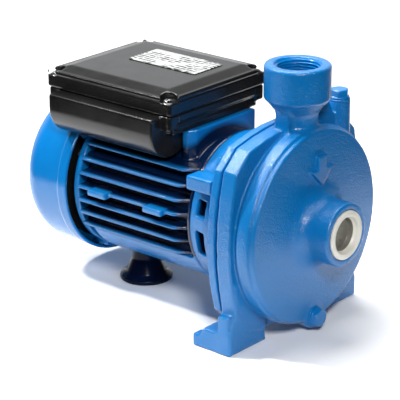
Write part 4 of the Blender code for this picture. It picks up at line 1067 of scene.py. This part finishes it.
def rating_plate():
    """A printed film with rounded corners on the lid."""
    low, high = span("rating_plate")
    corners = [(low[0], low[1], 1.5), (high[0], low[1], 1.5), (high[0], high[1], 1.5), (low[0], high[1], 1.5)]
    outline = rounded(corners, 5)
    centre = (low + high) / 2
    inner = [(x + 0.2 * np.sign(centre[0] - x), y + 0.2 * np.sign(centre[1] - y)) for x, y in outline]
    rings = [(outline, low[2]), (outline, high[2] - 0.1), (inner, high[2])]
    points = [(x, y, z) for ring, z in rings for x, y in ring]
    count = len(outline)
    faces = [tuple(range(count))[::-1], tuple(range(2 * count, 3 * count))]
    for level in (0, count):
        faces += [(level + i, level + (i + 1) % count, level + count + (i + 1) % count, level + count + i)
                  for i in range(count)]
    outward(piece("rating_film", points, faces, MATERIALS["label"], stands_for=["rating_plate"]))


# ---------------------------------------------------------------- stage
def aim(obj, target):
    obj.rotation_euler = (Vector(target) - obj.location).to_track_quat("-Z", "Y").to_euler()


def softbox(name, place, target, width, height, power):
    light = bpy.data.lights.new(name, "AREA")
    light.shape, light.size, light.size_y = "RECTANGLE", width, height
    light.energy = power
    obj = bpy.data.objects.new(name, light)
    obj.location = place
    bpy.context.scene.collection.objects.link(obj)
    aim(obj, target)


def studio():
    """A large softbox above, one left of the suction end and a small key high behind the left."""
    softbox("overhead", (0.08, 0.27, 1.20), (0.06, 0.12, 0), 0.8, 0.8, 22)
    softbox("front", (-0.85, -0.92, 0.95), (0, -0.10, 0.10), 0.26, 0.26, 17)
    softbox("key", (-0.52, 0.70, 1.15), (0, 0, 0.09), 0.10, 0.10, 17)


def world():
    """A dim room with a pale sweep low down behind the pump, and a pale backdrop all round."""
    surround = bpy.data.worlds.new("surround")
    bpy.context.scene.world = surround
    surround.use_nodes = True
    nodes, links = surround.node_tree.nodes, surround.node_tree.links
    background = nodes["Background"]
    place = add_node(nodes, "TexCoord")
    towards = add_node(nodes, "VectorMath", "DOT_PRODUCT")
    towards.inputs[1].default_value = Vector((0.65, 0.75, 0.05)).normalized()
    ramp = add_node(nodes, "MapRange", From_Min=0.45, From_Max=0.85, To_Min=0.03, To_Max=1.0)
    apart = add_node(nodes, "SeparateXYZ")
    height = add_node(nodes, "MapRange", From_Min=0.42, From_Max=0.60, To_Min=1.0, To_Max=0.12)
    strength = add_node(nodes, "Math", "MULTIPLY")
    links.new(place.outputs["Generated"], towards.inputs[0])
    links.new(place.outputs["Generated"], apart.inputs["Vector"])
    links.new(towards.outputs["Value"], ramp.inputs["Value"])
    links.new(apart.outputs["Z"], height.inputs["Value"])
    links.new(ramp.outputs["Result"], strength.inputs[0])
    links.new(height.outputs["Result"], strength.inputs[1])
    path = add_node(nodes, "LightPath")
    seen = add_node(nodes, "Math", "MAXIMUM")
    links.new(strength.outputs["Value"], seen.inputs[0])
    links.new(path.outputs["Is Camera Ray"], seen.inputs[1])
    links.new(seen.outputs["Value"], background.inputs["Strength"])
    background.inputs["Color"].default_value = (0.97, 0.985, 1.0, 1)


def floor():
    """A white table top, longer on the camera's left, that ends just in front of the pump."""
    ahead, right = Vector((0.764, 0.645, 0)), Vector((0.645, -0.764, 0))
    corners = [(-0.25, -0.42), (-0.25, 0.33), (1.8, 0.33), (1.8, -0.42)]
    mesh = bpy.data.meshes.new("floor")
    mesh.from_pydata([ahead * along + right * across for along, across in corners], [], [(0, 1, 2, 3)])
    surface = Surface("floor_white")
    surface.colour_by(surface.noise(3), (0.93, 0.93, 0.93), (0.95, 0.95, 0.95))
    surface.roughen_by(surface.noise(5), 0.55, 0.65)
    mesh.materials.append(surface.material)
    obj = bpy.data.objects.new("floor", mesh)
    obj.location.z = -0.0003
    bpy.context.scene.collection.objects.link(obj)


def camera():
    data = bpy.data.cameras.new("camera")
    data.lens, data.sensor_width = 175.7, 36.0
    obj = bpy.data.objects.new("camera", data)
    obj.location = (-1.077, -0.906, 0.600)
    bpy.context.scene.collection.objects.link(obj)
    aim(obj, (-0.0203, -0.0142, 0.0879))
    bpy.context.scene.camera = obj


def build():
    bpy.context.scene.view_settings.view_transform = "Standard"
    camera()
    studio()
    world()
    floor()
    dress_frame()
    for make in (pump_body, suction_plug, plugs, gasket, bracket, bracket_bolts, motor_housing, drive_end,
                 motor_foot, terminal_box, rating_plate):
        make()


build()
